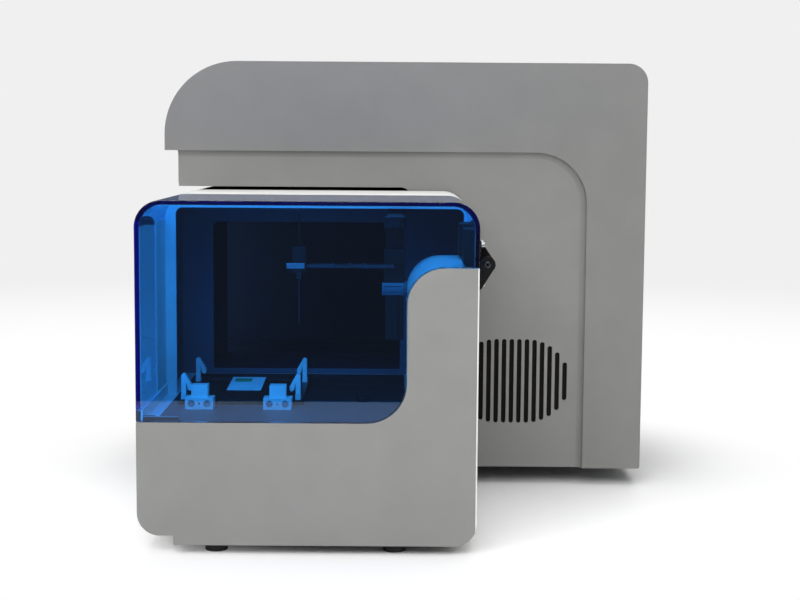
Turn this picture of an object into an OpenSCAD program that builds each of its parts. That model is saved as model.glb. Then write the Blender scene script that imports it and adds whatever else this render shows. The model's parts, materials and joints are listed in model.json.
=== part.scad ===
// Bench flow cytometer with a plate sampler docked in its bay.
// The cabinet's curved nose points to -X, its vented side and the sampler face -Y, Z is up.
// The base centre is at the origin and all sizes are in millimetres.

/* [Cabinet] */
// Length of the cabinet from the tip of its nose to its rear face
cabinet_length = 622; // [604:2:650]
// Depth of the cabinet from its vented side panel to its far side
cabinet_depth = 420; // [380:5:460]
// Height of the flat top above the bench
cabinet_height = 551; // [535:1:580]
// Radius of the large curve at the top of the nose
nose_radius = 94; // [80:1:104]
// How far the cover stands proud of the side panels, also the radius of its cove
cover_relief = 8; // [6:1:14]
// Radius of the inner corner where the cover turns down into its rear leg
recess_radius = 67; // [50:1:80]
// Height of the rubber feet under the cabinet
cabinet_foot_height = 22.6; // [18:0.2:30]
// Distance between two neighbouring vent slots
vent_pitch = 10; // [9:0.5:11]
// Width of one vent slot
vent_slot_width = 6; // [4:0.5:7]

/* [Plate sampler] */
// Width of the sampler across its front
sampler_width = 370; // [362:1:378]
// Depth of the sampler from its front panel to its back wall
sampler_depth = 357; // [345:1:372]
// Height of the top of the sampler
sampler_height = 386; // [372:0.5:394]
// Height of the chamber floor and of the low part of the front panel
floor_height = 146; // [140:1:150]
// Height of the hood's right wall, from the top of the column to the top of the sampler
hood_side_height = 71; // [66:1:76]
// Width of the column
column_width = 77; // [72:1:84]
// Radius of the rounded shoulder on top of the column
shoulder_radius = 40; // [30:1:50]
// Radius of the fillet between the chamber floor and the column
fillet_radius = 44; // [36:1:50]
// Height of the rubber feet under the sampler
sampler_foot_height = 10.6; // [8:0.2:14]

/* [Hood] */
// Thickness of the clear walls of the hood
hood_wall = 5; // [4:0.5:8]
// Length of the hood from its front face to the flange of the casing
hood_depth = 193; // [185:1:198]
// Outer radius of the upper corners of the hood and the casing
hood_radius = 29; // [22:1:32]
// Outer radius of the hinge barrels
barrel_radius = 8.8; // [7.5:0.1:9.2]
// Radius of the hinge pins
hinge_pin_radius = 3; // [2.5:0.1:3.5]

/* [Sampling arm] */
// How far the needle arm hangs below the top of the sampler
arm_drop = 83; // [78:1:88]
// Length of the needle
needle_length = 52; // [44:1:58]

/* [Hidden] */
$fn = 96;
fine_fn = 40;          // roundness of small holes and pins
sheet = 3;             // thickness of sheet-metal panels
cover_sheet = 4;       // thickness of the cover's skin
liner_sheet = 2;       // thickness of the folded bay liner
fit_gap = 0.2;         // clearance of parts that slide or seat
move_gap = 0.3;        // clearance beside curved faces that move
hood_gap = 0.6;        // slit between the hood and the front panel
pin_gap = 0.05;        // running clearance around a pin
over = 1;              // how far a cut runs past a face
weld = 0.5;            // how far two forms of one solid run into each other

// Cabinet
dock_gap = 3;
whole_depth = sampler_depth + dock_gap + cabinet_depth;
front_y = -whole_depth / 2;
sampler_back_y = front_y + sampler_depth;
side_y = sampler_back_y + dock_gap;
far_y = side_y + cabinet_depth;
cheek_y = side_y - cover_relief;
far_cheek_y = far_y - cover_relief;
nose_x = -cabinet_length / 2;
rear_x = cabinet_length / 2;
nose_overhang = 16.4;
head_x = nose_x + nose_overhang;
plinth_x = head_x + 9.6;
pan_z = cabinet_foot_height;
leg_width = 75.6;      // width of the cover's rear leg
recess_x = rear_x - leg_width;
bay_clear = 4.2;       // air between the top of the sampler and the head above it
head_z = sampler_height + bay_clear;
head_band = 46.3;      // height of the recessed band under the cover's head
recess_z = head_z + head_band;
rear_radius = 25;
head_liner = 14;       // thickness of the cover behind the nose curve
panel_lap = 9;         // how far a side panel runs behind the cover
neck_x1 = 0;
neck_z = floor_height + 4;
bay_x = neck_x1 + 8;
bay_z = neck_z - 12;
bay_y = far_cheek_y - sheet;
bay_radius = [6, 14];  // lower and upper corner of the bay's opening
port_y0 = 150;         // from the side panel to the sample port
port_z0 = 140;         // from the chamber floor to the sample port
port_flange = 17;
port_tube = 8;
cabinet_foot_radius = 15;
cabinet_foot_x = [-228, 228];
cabinet_foot_inset = 116;

// Vent and fan
vent_x = rear_x - 169.9;
vent_z = 137;
vent_half = 7;         // slots on each side of the middle one
vent_flat = 19.7;      // half width of the middle field of full-height slots
vent_reach = 55.7;     // half height of the slot field and radius of its round ends
fan_size = 120;
fan_depth = 25;
fan_bore = 57;
fan_hub = 20;
fan_blades = 7;
fan_tilt = 32;
filter_depth = 2;
filter_lap = 14;       // how far the filter runs past the fan on each side
motor_plate = 3;
fan_screw = 8;         // from the frame's edges to its screw holes
fan_screw_radius = 2.2;
spindle = 2;
fan_y = side_y + sheet + filter_depth;

// Rear connector panel
service_y = [side_y + 70, side_y + 330];
service_z = [60, 180];
service_lap = 10;
inlet_y = side_y + 280;
switch_y = side_y + 225;
port_y = side_y + 120;
port_pitch = 24;
port_half = [6.5, 3];
port_wall = 0.8;
port_depth = 18;
service_mid = 120;
inlet_half = [15, 11];
inlet_flange = [24, 15];
inlet_depth = 24;
inlet_recess = 16;
inlet_wall = 2;
switch_radius = 14;
switch_half = 7;
switch_x = rear_x - cover_sheet - sheet - 8;
switch_tilt = 8;       // the rocker rests this far from its middle

// Sampler
sampler_x0 = nose_x + 19;
sampler_x1 = sampler_x0 + sampler_width;
column_height = sampler_height - hood_side_height;
body_y = front_y + sheet;
flange_y = front_y + hood_depth;
base_z = sampler_foot_height;
low_radius = 25;
lift_z = base_z + 10.4;  // underside of the raised left part of the base
lift_x = sampler_x0 + 39.5;
column_x = sampler_x1 - column_width;
fillet_x = column_x - fillet_radius;
hatch_x = [lift_x + sheet, sampler_x1 - low_radius];
hatch_y = [body_y + sheet, sampler_back_y - sheet];
edge_step = 1.7;       // the front panel stops this far short of the right side
rim_height = 12.5;
rim_width = 7;
hood_left_depth = hood_depth - 69;
cheek_wall = 5;
flange_side = 17.5;
flange_right = 9;
flange_top = 16;
flange_radius = 8;
tray_x = [sampler_x0 + 20, column_x - 1];
tray_seam_y = front_y + 145;
tray_back_y = sampler_back_y - sheet - fit_gap;
door_x = [sampler_x0 + 43, neck_x1 - 6];
door_z = [neck_z + sheet, sampler_height - 41];
neck_length = 144;
neck_radius = 4;
bracket_half = 30;
bracket_z = [cabinet_foot_height + 20, cabinet_foot_height + 60];
sampler_foot_radius = 12.5;
sampler_foot_x = [sampler_x0 + 83.8, sampler_x0 + 280.6];
sampler_foot_y = [front_y + 25, sampler_back_y - 27];

// Hood hinge
hinge_x = sampler_x1 + barrel_radius + move_gap;
hinge_z = column_height + 3.1;
hinge_y = [front_y + 16, flange_y - 63];
hinge_length = 50;
knuckle = hinge_length * 0.3;
leaf = 2.5;
leaf_top = 25;
leaf_low = 27;
leaf_clear = barrel_radius - 1.5;
hex_radius = 2.2;
backing = 12;          // thickness of the blocks behind the hinge screws

// Hood catch
keeper_length = 40;
keeper_z = [floor_height + 1.5, floor_height + 6];
magnet_depth = 5;

// Plate nest
nest_x = [sampler_x0 + 30, sampler_x0 + 174];
nest_y = [front_y + 116, front_y + 259];
nest_deck = 6;
deck_z = floor_height + nest_deck;
stop_x = [sampler_x0 + 42, sampler_x0 + 130.7];
stop_y = front_y + 84;
stop_width = 32;
stop_depth = 20;
stop_low = 13;
stop_high = 14;
stop_neck = 18.5;
stop_screw = 9;
stop_step = 4;         // depth of the step and of the screws' counterbores
bore_radius = 4;
head_radius = 3.5;
shank_radius = 2;
clip_edge = 6;
clip_depth = 8;
clip_height = 24.5;
clip_leg = 2.8;        // half thickness of a clip's leg
clip_x = [nest_x[0] + clip_edge, nest_x[1] - clip_edge];
clip_y = [nest_y[0] + clip_edge, nest_y[1] - clip_edge];
clip_pivot_z = deck_z + 5;
clip_pin = 1;
clip_barrel = 3;
clip_reach = 9.6;      // how far a hook reaches inward
ear = 2;
card_x = sampler_x0 + 78.5;
card_y = front_y + 182;
card_width = 41;
card_length = 76;
card_sheet = 0.6;
card_lift = 0.05;
rib_width = 5;         // rib along the deck's rear edge that stops a plate
rib_height = 3.5;
card_slope = atan((rib_height + card_lift) / (nest_y[1] - rib_width - card_y));

// Sampling arm
arm_height = sampler_height - arm_drop;
rail_x = column_x - 14;
rail_z = sampler_height - 28;
rail_y = [flange_y - 78, sampler_back_y - 17];
rail_half = 9;
rail_half_height = 6;
rail_groove = 2;
saddle_wall = 4;
saddle_lip = 1.6;      // how far the saddle reaches into the rail's grooves
arm_y = flange_y - 18;
mast_y = flange_y + 7;
mast_half = 11;
mast_depth = 3;        // half thickness of the mast
slider_half = 13;
mast_foot_z = floor_height + 66;
slider_half_height = 20;
tongue_half = 4;
tongue_depth = 4;
beam_back = 6;
beam_front = 8;
beam_half = 2;
beam_tongue = 33;
beam_end = 11;         // how far the rear beam runs past the front one
beam_left = sampler_x0 + 154;
beam_back_left = beam_left + 27;
beam_right = column_x - 15;
probe_x = beam_left + 12.4;
probe_half = 8;
probe_wrap = 8;        // how far the carriage stands in front of the beam
probe_top = 23;
probe_low = 7;
guide_top = 62;
needle_hub = 8;
needle_radius = 0.8;

// Wash station and pump
cup_x = column_x - 50.6;
cup_y = front_y + 147;
cup_radius = 8.7;
cup_height = 10;
cup_wall = 3;
pump_y = front_y + 50;
pump_z = column_height - 27;
pump_reach = 28;
pump_disc = 2.5;
pump_radius = 7;
pump_core = 4.5;
pump_roller = 1.6;
pump_rollers = 6;
roller_track = pump_radius - pump_roller - 0.3;

// Section: shared shapes.

// Removes a square corner at (x, z), leaving a round one; sx and sz point into the body.
module rounding(x, z, r, sx, sz) {
  translate([x, z]) difference() {
    translate([sx > 0 ? -over : -r, sz > 0 ? -over : -r]) square(r + over);
    translate([sx * r, sz * r]) circle(r);
  }
}

// Upright rectangle from (x0, z0) to (x1, z1) with its own radius at each corner.
module panel(x0, z0, x1, z1, bl = 0, br = 0, tr = 0, tl = 0) {
  difference() {
    translate([x0, z0]) square([x1 - x0, z1 - z0]);
    if (bl > 0) rounding(x0, z0, bl, 1, 1);
    if (br > 0) rounding(x1, z0, br, -1, 1);
    if (tr > 0) rounding(x1, z1, tr, -1, -1);
    if (tl > 0) rounding(x0, z1, tl, 1, -1);
  }
}

// Box between two corners.
module block(x, y, z) {
  translate([x[0], y[0], z[0]]) cube([x[1] - x[0], y[1] - y[0], z[1] - z[0]]);
}

// An upright drawing in X and Z drawn out from y0 to y1.
module along_y(y0, y1) {
  translate([0, y1, 0]) rotate([90, 0, 0]) linear_extrude(y1 - y0) children();
}

module rod_x(x0, x1, y, z, r) {
  translate([x0, y, z]) rotate([0, 90, 0]) cylinder(h = x1 - x0, r = r);
}

module rod_y(x, y0, y1, z, r) {
  translate([x, y1, z]) rotate([90, 0, 0]) cylinder(h = y1 - y0, r = r);
}

module rod_z(x, y, z0, z1, r) {
  translate([x, y, z0]) cylinder(h = z1 - z0, r = r);
}

// Section: cabinet.

module cover_outline() {
  panel(nose_x, pan_z, rear_x, cabinet_height, br = sheet, tr = rear_radius, tl = nose_radius);
}

module recess_outline() {
  panel(nose_x - over, pan_z - over, recess_x, recess_z, tr = recess_radius);
}

// Quarter-round cove between the cover and a side panel, open toward a corner at (-, +).
module cove_section() {
  difference() {
    square(cover_relief);
    translate([0, cover_relief]) circle(cover_relief);
  }
}

// The cove runs under the head, round the inner corner and down the rear leg.
module cove() {
  corner_x = recess_x - recess_radius;
  corner_z = recess_z - recess_radius;
  translate([head_x, 0, 0]) rotate([90, 0, 90]) linear_extrude(corner_x - head_x)
    translate([side_y, recess_z - cover_relief]) rotate(90) cove_section();
  translate([corner_x, side_y, corner_z]) rotate([90, 0, 0])
    rotate_extrude(angle = 90) translate([recess_radius - cover_relief, 0]) cove_section();
  translate([0, 0, pan_z]) linear_extrude(corner_z - pan_z)
    translate([recess_x - cover_relief, side_y]) mirror([0, 1]) cove_section();
}

// Raised outer cover: two cheeks, the skin between them and the coves beside the side panel.
module cabinet_cover() color([0.62, 0.62, 0.61]) {
  difference() {
    union() {
      along_y(cheek_y, side_y) difference() { cover_outline(); recess_outline(); }
      along_y(far_cheek_y, far_y) difference() { cover_outline(); recess_outline(); }
      along_y(side_y, far_cheek_y) difference() {
        cover_outline();
        recess_outline();
        panel(head_x, pan_z - over, rear_x - cover_sheet, cabinet_height - cover_sheet,
              tr = rear_radius - cover_sheet, tl = nose_radius - head_liner);
      }
    }
    block([rear_x - 2 * cover_sheet, rear_x + over], service_y, service_z);
  }
  cove();
}

module side_outline() {
  difference() {
    panel(head_x, pan_z, recess_x + panel_lap, recess_z + panel_lap);
    translate([head_x - over, pan_z - over])
      square([plinth_x - head_x + over, bay_z - pan_z + over]);
  }
}

// One slot of the vent, rounded at both ends.
module vent_slot(k) {
  side = min(max(0, abs(k) * vent_pitch - vent_flat), vent_reach - vent_slot_width);
  reach = sqrt(pow(vent_reach, 2) - pow(side, 2));
  translate([vent_x + k * vent_pitch, vent_z]) {
    square([vent_slot_width, 2 * (reach - vent_slot_width / 2)], center = true);
    for (s = [-1, 1]) translate([0, s * (reach - vent_slot_width / 2)])
      circle(d = vent_slot_width, $fn = fine_fn);
  }
}

// Recessed panel on the docking side, with the bay's opening and the vent.
module docking_side_panel() color([0.57, 0.57, 0.56])
  along_y(side_y, side_y + sheet) difference() {
    side_outline();
    panel(head_x - over, bay_z, bay_x, head_z, br = bay_radius[0], tr = bay_radius[1]);
    rounding(head_x, head_z, 5, 1, 1);
    for (k = [-vent_half : vent_half]) vent_slot(k);
  }

// Recessed panel on the far side, closed.
module far_side_panel() color([0.57, 0.57, 0.56])
  along_y(far_cheek_y - sheet, far_cheek_y) side_outline();

// Front faces of the head and of the plinth below the bay.
module nose_fascia() color([0.57, 0.57, 0.56]) {
  inner = [side_y + sheet, far_cheek_y - sheet];
  block([head_x, head_x + sheet], inner, [head_z, recess_z]);
  block([plinth_x, plinth_x + sheet], inner, [pan_z, bay_z]);
}

// Bottom pan that carries the panels, with a turned-up edge at the rear.
module base_pan() color([0.3, 0.3, 0.31]) {
  inner = [side_y + sheet, far_cheek_y - sheet];
  block([plinth_x + sheet, rear_x - cover_sheet], inner, [pan_z, pan_z + sheet]);
  block([rear_x - cover_sheet - sheet, rear_x - cover_sheet], inner, [pan_z, service_z[0] - service_lap]);
}

// Dark folded lining of the bay under the head.
module bay_liner() color([0.12, 0.12, 0.13]) {
  block([head_x + sheet, bay_x + liner_sheet], [side_y + sheet, bay_y], [head_z, head_z + liner_sheet]);
  block([plinth_x + sheet, bay_x + liner_sheet], [side_y + sheet, bay_y], [bay_z - liner_sheet, bay_z]);
  block([bay_x, bay_x + liner_sheet], [side_y + sheet, bay_y], [bay_z, head_z]);
  block([plinth_x, bay_x], [bay_y - liner_sheet, bay_y], [bay_z, head_z]);
}

// Port in the bay's inner wall where the sampler's tubing enters the flow cell.
module sample_port() color([0.75, 0.76, 0.78]) {
  port = [side_y + port_y0, floor_height + port_z0];
  difference() {
    union() {
      rod_x(bay_x - 4, bay_x, port[0], port[1], port_flange);
      rod_x(bay_x - 2 * port_tube, bay_x - 4 + weld, port[0], port[1], port_tube);
    }
    rod_x(bay_x - 2 * port_tube - over, bay_x - 6, port[0], port[1], port_tube / 4);
  }
}

module cabinet_feet() color([0.06, 0.06, 0.06])
  for (x = cabinet_foot_x, y = [side_y + cabinet_foot_inset, far_y - cabinet_foot_inset])
    rod_z(x, y, 0, cabinet_foot_height, cabinet_foot_radius);

// Dust filter between the vent and the fan.
module vent_filter() color([0.05, 0.05, 0.05]) {
  half = fan_size / 2;
  wide = half + filter_lap;
  block([vent_x - wide, vent_x + wide], [side_y + sheet, fan_y], [vent_z - half, vent_z + half]);
}

// Square frame of the vent fan with its motor mount on three spokes.
module fan_frame() color([0.09, 0.09, 0.1]) {
  half = fan_size / 2;
  difference() {
    block([vent_x - half, vent_x + half], [fan_y, fan_y + fan_depth], [vent_z - half, vent_z + half]);
    rod_y(vent_x, fan_y - over, fan_y + fan_depth + over, vent_z, fan_bore);
    for (i = [-1, 1], j = [-1, 1])
      rod_y(vent_x + i * (half - fan_screw), fan_y - over, fan_y + fan_depth + over,
            vent_z + j * (half - fan_screw), fan_screw_radius);
  }
  rod_y(vent_x, fan_y + fan_depth - motor_plate, fan_y + fan_depth, vent_z, fan_hub - 2);
  rod_y(vent_x, fan_y + 8, fan_y + fan_depth - motor_plate + weld, vent_z, spindle);
  translate([vent_x, fan_y + fan_depth, vent_z]) rotate([90, 0, 0]) for (a = [30, 150, 270])
    rotate(a) translate([fan_hub - 4, -2, 0]) cube([fan_bore - fan_hub + 6, 4, motor_plate]);
}

// Seven-bladed rotor that turns on the motor's spindle.
module fan_rotor() color([0.14, 0.14, 0.15]) {
  difference() {
    union() {
      rod_y(vent_x, fan_y + 3, fan_y + fan_depth - motor_plate - move_gap, vent_z, fan_hub);
      intersection() {
        rod_y(vent_x, fan_y + 2, fan_y + fan_depth - 5, vent_z, fan_bore - 2);
        translate([vent_x, fan_y + 12, vent_z]) rotate([90, 0, 0]) for (i = [0 : fan_blades - 1])
          rotate(i * 360 / fan_blades) translate([fan_hub - 4, 0, 0]) rotate([fan_tilt, 0, 0])
            translate([0, -12, -1]) cube([fan_bore, 24, 2]);
      }
    }
    rod_y(vent_x, fan_y + 7, fan_y + fan_depth, vent_z, spindle + pin_gap);
  }
}

// Plate behind the rear window that carries the inlet, the switch and the ports.
module connector_panel() color([0.2, 0.2, 0.21]) {
  x = [rear_x - cover_sheet - sheet, rear_x - cover_sheet];
  difference() {
    block(x, [service_y[0] - service_lap, service_y[1] + service_lap],
          [service_z[0] - service_lap, service_z[1] + service_lap]);
    block([x[0] - over, x[1] + over], [inlet_y - inlet_half[0], inlet_y + inlet_half[0]],
          [service_mid - inlet_half[1], service_mid + inlet_half[1]]);
    block([x[0] - over, x[1] + over], [switch_y - switch_half - move_gap, switch_y + switch_half + move_gap],
          [service_mid - switch_radius - move_gap, service_mid + switch_radius + move_gap]);
    for (k = [0, 1]) block([x[0] - over, x[1] + over],
                           [port_y + k * port_pitch - port_half[0], port_y + k * port_pitch + port_half[0]],
                           [service_mid - port_half[1], service_mid + port_half[1]]);
  }
}

// Mains inlet with three blades in a recess; its plug and cord belong to the bench.
module power_inlet() color([0.07, 0.07, 0.07]) {
  outer = rear_x - cover_sheet;
  difference() {
    union() {
      block([outer, outer + 3], [inlet_y - inlet_flange[0], inlet_y + inlet_flange[0]],
            [service_mid - inlet_flange[1], service_mid + inlet_flange[1]]);
      block([outer - inlet_depth, outer + weld], [inlet_y - inlet_half[0], inlet_y + inlet_half[0]],
            [service_mid - inlet_half[1], service_mid + inlet_half[1]]);
    }
    block([outer - inlet_recess, outer + 4],
          [inlet_y - inlet_half[0] + inlet_wall, inlet_y + inlet_half[0] - inlet_wall],
          [service_mid - inlet_half[1] + inlet_wall, service_mid + inlet_half[1] - inlet_wall]);
  }
  for (p = [[-7, -2], [0, 2], [7, -2]])
    block([outer - inlet_recess - weld, outer - 2], [inlet_y + p[0] - 1, inlet_y + p[0] + 1],
          [service_mid + p[1] - 2, service_mid + p[1] + 2]);
}

// Rocker of the mains switch, a segment of a cylinder that tips on its own axis.
module power_rocker() color([0.05, 0.05, 0.05])
  translate([switch_x, switch_y, service_mid]) rotate([0, switch_tilt, 0]) difference() {
    rod_y(0, -switch_half, switch_half, 0, switch_radius);
    block([-switch_radius - over, 0], [-switch_half - over, switch_half + over],
          [-switch_radius - over, switch_radius + over]);
    rod_y(switch_radius + 8, 1.5 - switch_half, switch_half - 1.5, 0, switch_radius - 3);
  }

// Two data ports behind the rear window.
module data_ports() color([0.7, 0.71, 0.73])
  for (k = [0, 1]) difference() {
    y = port_y + k * port_pitch;
    inner = [port_half[0] - port_wall, port_half[1] - port_wall];
    block([rear_x - cover_sheet - port_depth, rear_x - cover_sheet], [y - port_half[0], y + port_half[0]],
          [service_mid - port_half[1], service_mid + port_half[1]]);
    block([rear_x - cover_sheet - port_depth + 4, rear_x - cover_sheet + over], [y - inner[0], y + inner[0]],
          [service_mid - inner[1], service_mid + inner[1]]);
  }

// Section: plate sampler.

// Front outline of the sampler, pulled in by an inset for its inner faces.
module sampler_outline(inset = 0) {
  difference() {
    panel(sampler_x0 + inset, base_z + inset, sampler_x1 - inset, sampler_height - inset,
          br = low_radius - inset, tr = hood_radius - inset, tl = hood_radius - inset);
    translate([sampler_x0 - over, base_z - over])
      square([lift_x - sampler_x0 + over + inset, lift_z - base_z + over + inset]);
    rounding(sampler_x0 + inset, lift_z + inset, low_radius - inset, 1, 1);
  }
}

// Floor, fillet and column in one S-shaped line; grow widens it for a clearance.
module s_outline(grow = 0) {
  x1 = sampler_x1 + over + grow;
  panel(sampler_x0 - over, 0, x1, floor_height + grow);
  panel(column_x - grow, floor_height, x1, column_height + grow, tl = shoulder_radius + grow);
  difference() {
    translate([fillet_x, floor_height]) square(fillet_radius);
    translate([fillet_x, floor_height + fillet_radius]) circle(fillet_radius - grow);
  }
}

module above(z) {
  translate([sampler_x0 - over, z]) square([sampler_width + 2 * over, sampler_height]);
}

// Painted front panel whose top edge sweeps from the chamber floor up into the column.
module front_panel() color([0.63, 0.63, 0.62])
  along_y(front_y, body_y) intersection() {
    sampler_outline();
    s_outline();
    translate([sampler_x0, 0]) square([sampler_width - edge_step, sampler_height]);
  }

// Base housing with the pocket for the chamber floor and the rim the hood rests on.
// It is hollow and open below, where the bottom plate closes it.
module sampler_base() color([0.8, 0.8, 0.79]) {
  difference() {
    along_y(body_y, sampler_back_y) difference() {
      sampler_outline();
      above(floor_height);
    }
    along_y(body_y + sheet, sampler_back_y - sheet) difference() {
      sampler_outline(sheet);
      above(floor_height - 2 * sheet);
    }
    block(hatch_x, hatch_y, [base_z - over, base_z + sheet + over]);
    block([tray_x[0] - fit_gap, tray_x[1] + fit_gap],
          [front_y + 2 * sheet - fit_gap, tray_back_y + fit_gap], [floor_height - sheet, floor_height + over]);
  }
  block([sampler_x0, sampler_x0 + rim_width], [front_y + hood_wall + move_gap, flange_y],
        [floor_height - weld, floor_height + rim_height]);
}

// Bottom plate of the base, which carries the feet.
module sampler_pan() color([0.4, 0.4, 0.41])
  block(hatch_x, hatch_y, [base_z, base_z + sheet]);

// Column with its rounded shoulder, open at its back.
module sampler_column() color([0.85, 0.85, 0.84]) difference() {
  along_y(body_y, flange_y)
    panel(column_x, floor_height, sampler_x1, column_height, tl = shoulder_radius);
  along_y(body_y + sheet, flange_y + over)
    panel(column_x + sheet, floor_height + sheet, sampler_x1 - sheet, column_height - sheet,
          tl = shoulder_radius - sheet);
}

// Dark front floor of the chamber.
module chamber_floor() color([0.25, 0.25, 0.26])
  block(tray_x, [front_y + 2 * sheet, tray_seam_y], [floor_height - sheet, floor_height]);

// Dark rear floor inside the casing.
module rear_tray() color([0.12, 0.12, 0.13])
  block(tray_x, [tray_seam_y + fit_gap, tray_back_y], [floor_height - sheet, floor_height]);

// Rear casing: walls, front flange with the rounded opening, left cheek and back doorway.
module sampler_casing() color([0.87, 0.87, 0.86]) {
  along_y(flange_y, sampler_back_y) difference() {
    intersection() { sampler_outline(); above(floor_height); }
    intersection() { sampler_outline(sheet); above(floor_height - over); }
  }
  along_y(flange_y, flange_y + sheet) difference() {
    intersection() { sampler_outline(sheet); above(floor_height); }
    panel(sampler_x0 + flange_side, floor_height - over, sampler_x1 - flange_right,
          sampler_height - flange_top, tr = flange_radius, tl = flange_radius);
  }
  along_y(sampler_back_y - sheet, sampler_back_y) difference() {
    intersection() { sampler_outline(sheet); above(floor_height); }
    panel(door_x[0], door_z[0], door_x[1], door_z[1], tr = flange_radius, tl = flange_radius);
  }
  block([sampler_x0, sampler_x0 + cheek_wall], [front_y + hood_left_depth + move_gap, flange_y],
        [floor_height + rim_height, sampler_height - hood_radius - move_gap]);
}

// Duct from the casing into the cabinet's bay.
module docking_neck() color([0.12, 0.12, 0.13])
  along_y(sampler_back_y, sampler_back_y + neck_length) difference() {
    panel(sampler_x0, neck_z, neck_x1, sampler_height, bl = neck_radius, br = neck_radius,
          tr = neck_radius, tl = hood_radius);
    panel(sampler_x0 + sheet, neck_z + sheet, neck_x1 - sheet, sampler_height - sheet,
          tl = hood_radius - sheet);
  }

// Brackets that tie the sampler's base to the cabinet's plinth.
module dock_brackets() color([0.4, 0.4, 0.41])
  for (x = sampler_foot_x) block([x - bracket_half, x + bracket_half], [sampler_back_y, side_y], bracket_z);

module sampler_feet() color([0.06, 0.06, 0.06])
  for (x = sampler_foot_x, y = sampler_foot_y) rod_z(x, y, 0, sampler_foot_height, sampler_foot_radius);

// Section: hood and its hinges.

// Clear hood: front wall cut to the S line, left wall, top and right wall in one moulding.
module hood() color([0.16, 0.5, 0.9, 0.55])
  difference() {
    along_y(front_y, flange_y - move_gap) difference() {
      sampler_outline();
      s_outline(hood_gap);
    }
    along_y(front_y + hood_wall, flange_y) difference() {
      sampler_outline(hood_wall);
      translate([sampler_x0 - over, 0]) square([sampler_width, floor_height]);
    }
    block([sampler_x0 - over, sampler_x0 + hood_wall + over], [front_y + hood_wall, flange_y],
          [0, floor_height + rim_height]);
    block([sampler_x0 - over, sampler_x0 + hood_wall + over], [front_y + hood_left_depth, flange_y],
          [0, sampler_height - hood_radius]);
  }

module hinge_plate(z0, z1, y0, y1) {
  block([sampler_x1, sampler_x1 + leaf], [y0, y1], [z0, z1]);
}

// Web that runs off a barrel, close to a tangent line, down to the edge of its leaf.
module hinge_web(reach, y0, y1) {
  foot = [leaf - barrel_radius - move_gap, -reach];
  rim = barrel_radius - move_gap;
  turn = atan2(foot[1], foot[0]) + acos(rim / norm(foot));
  translate([hinge_x, 0, hinge_z]) along_y(y0, y1)
    polygon([[-barrel_radius - move_gap, 0], [-barrel_radius - move_gap, -reach], foot,
             [rim * cos(turn), rim * sin(turn)], [0, 0]]);
}

// Leaf on the hood with the middle barrel of each hinge.
module hood_leaves() color([0.07, 0.07, 0.07])
  for (y = hinge_y) difference() {
    y0 = y + knuckle + fit_gap;
    y1 = y + hinge_length - knuckle - fit_gap;
    union() {
      hinge_plate(hinge_z + leaf_clear, hinge_z + leaf_top, y, y + hinge_length);
      rod_y(hinge_x, y0, y1, hinge_z, barrel_radius);
      translate([0, 0, 2 * hinge_z]) mirror([0, 0, 1]) hinge_web(leaf_top, y0, y1);
    }
    rod_y(hinge_x, y - over, y + hinge_length + over, hinge_z, hinge_pin_radius + pin_gap);
  }

// Leaf on the column with the outer barrels of each hinge.
module column_leaves() color([0.07, 0.07, 0.07])
  for (y = hinge_y) difference() {
    union() {
      hinge_plate(hinge_z - leaf_low, hinge_z - leaf_clear, y, y + hinge_length);
      for (k = [y, y + hinge_length - knuckle]) {
        rod_y(hinge_x, k, k + knuckle, hinge_z, barrel_radius);
        hinge_web(leaf_low, k, k + knuckle);
      }
    }
    rod_y(hinge_x, y - over, y + hinge_length + over, hinge_z, hinge_pin_radius);
  }

// Pins pressed into the outer barrels, each with a hexagon socket in its front end.
module hinge_pins() color([0.1, 0.1, 0.1])
  for (y = hinge_y) difference() {
    union() {
      rod_y(hinge_x, y, y + hinge_length, hinge_z, hinge_pin_radius);
      rod_y(hinge_x, y - 1, y, hinge_z, hinge_pin_radius + 0.8);
    }
    translate([hinge_x, y + 2, hinge_z]) rotate([90, 0, 0]) cylinder(h = 6, r = hex_radius, $fn = 6);
  }

// Blocks inside the hood's right wall that the hinge screws pull against.
module hinge_backing() color([0.08, 0.08, 0.09])
  for (y = hinge_y)
    block([sampler_x1 - hood_wall - backing, sampler_x1 - hood_wall], [y, y + hinge_length],
          [hinge_z, sampler_height - hood_radius - over]);

// Keeper strip low on the inside of the hood's front wall.
module hood_keeper() color([0.7, 0.72, 0.75])
  block([sampler_x0 + rim_width, sampler_x0 + rim_width + keeper_length],
        [front_y + hood_wall, front_y + hood_wall + sheet], keeper_z);

// Magnet on the base that holds the closed hood.
module catch_magnet() color([0.2, 0.2, 0.21])
  block([sampler_x0 + rim_width, tray_x[0] - fit_gap],
        [front_y + hood_wall + sheet + fit_gap, front_y + hood_wall + sheet + magnet_depth],
        [floor_height, keeper_z[1]]);

// Section: plate nest.

// Square deck that the four clips and the microplate stand on, with a low rib along its rear edge.
module nest_plate() color([0.06, 0.06, 0.07]) {
  block(nest_x, nest_y, [floor_height, deck_z]);
  block([clip_x[0] + 2 * clip_edge, clip_x[1] - 2 * clip_edge], [nest_y[1] - rib_width, nest_y[1]],
        [deck_z - weld, deck_z + rib_height]);
}

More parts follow.
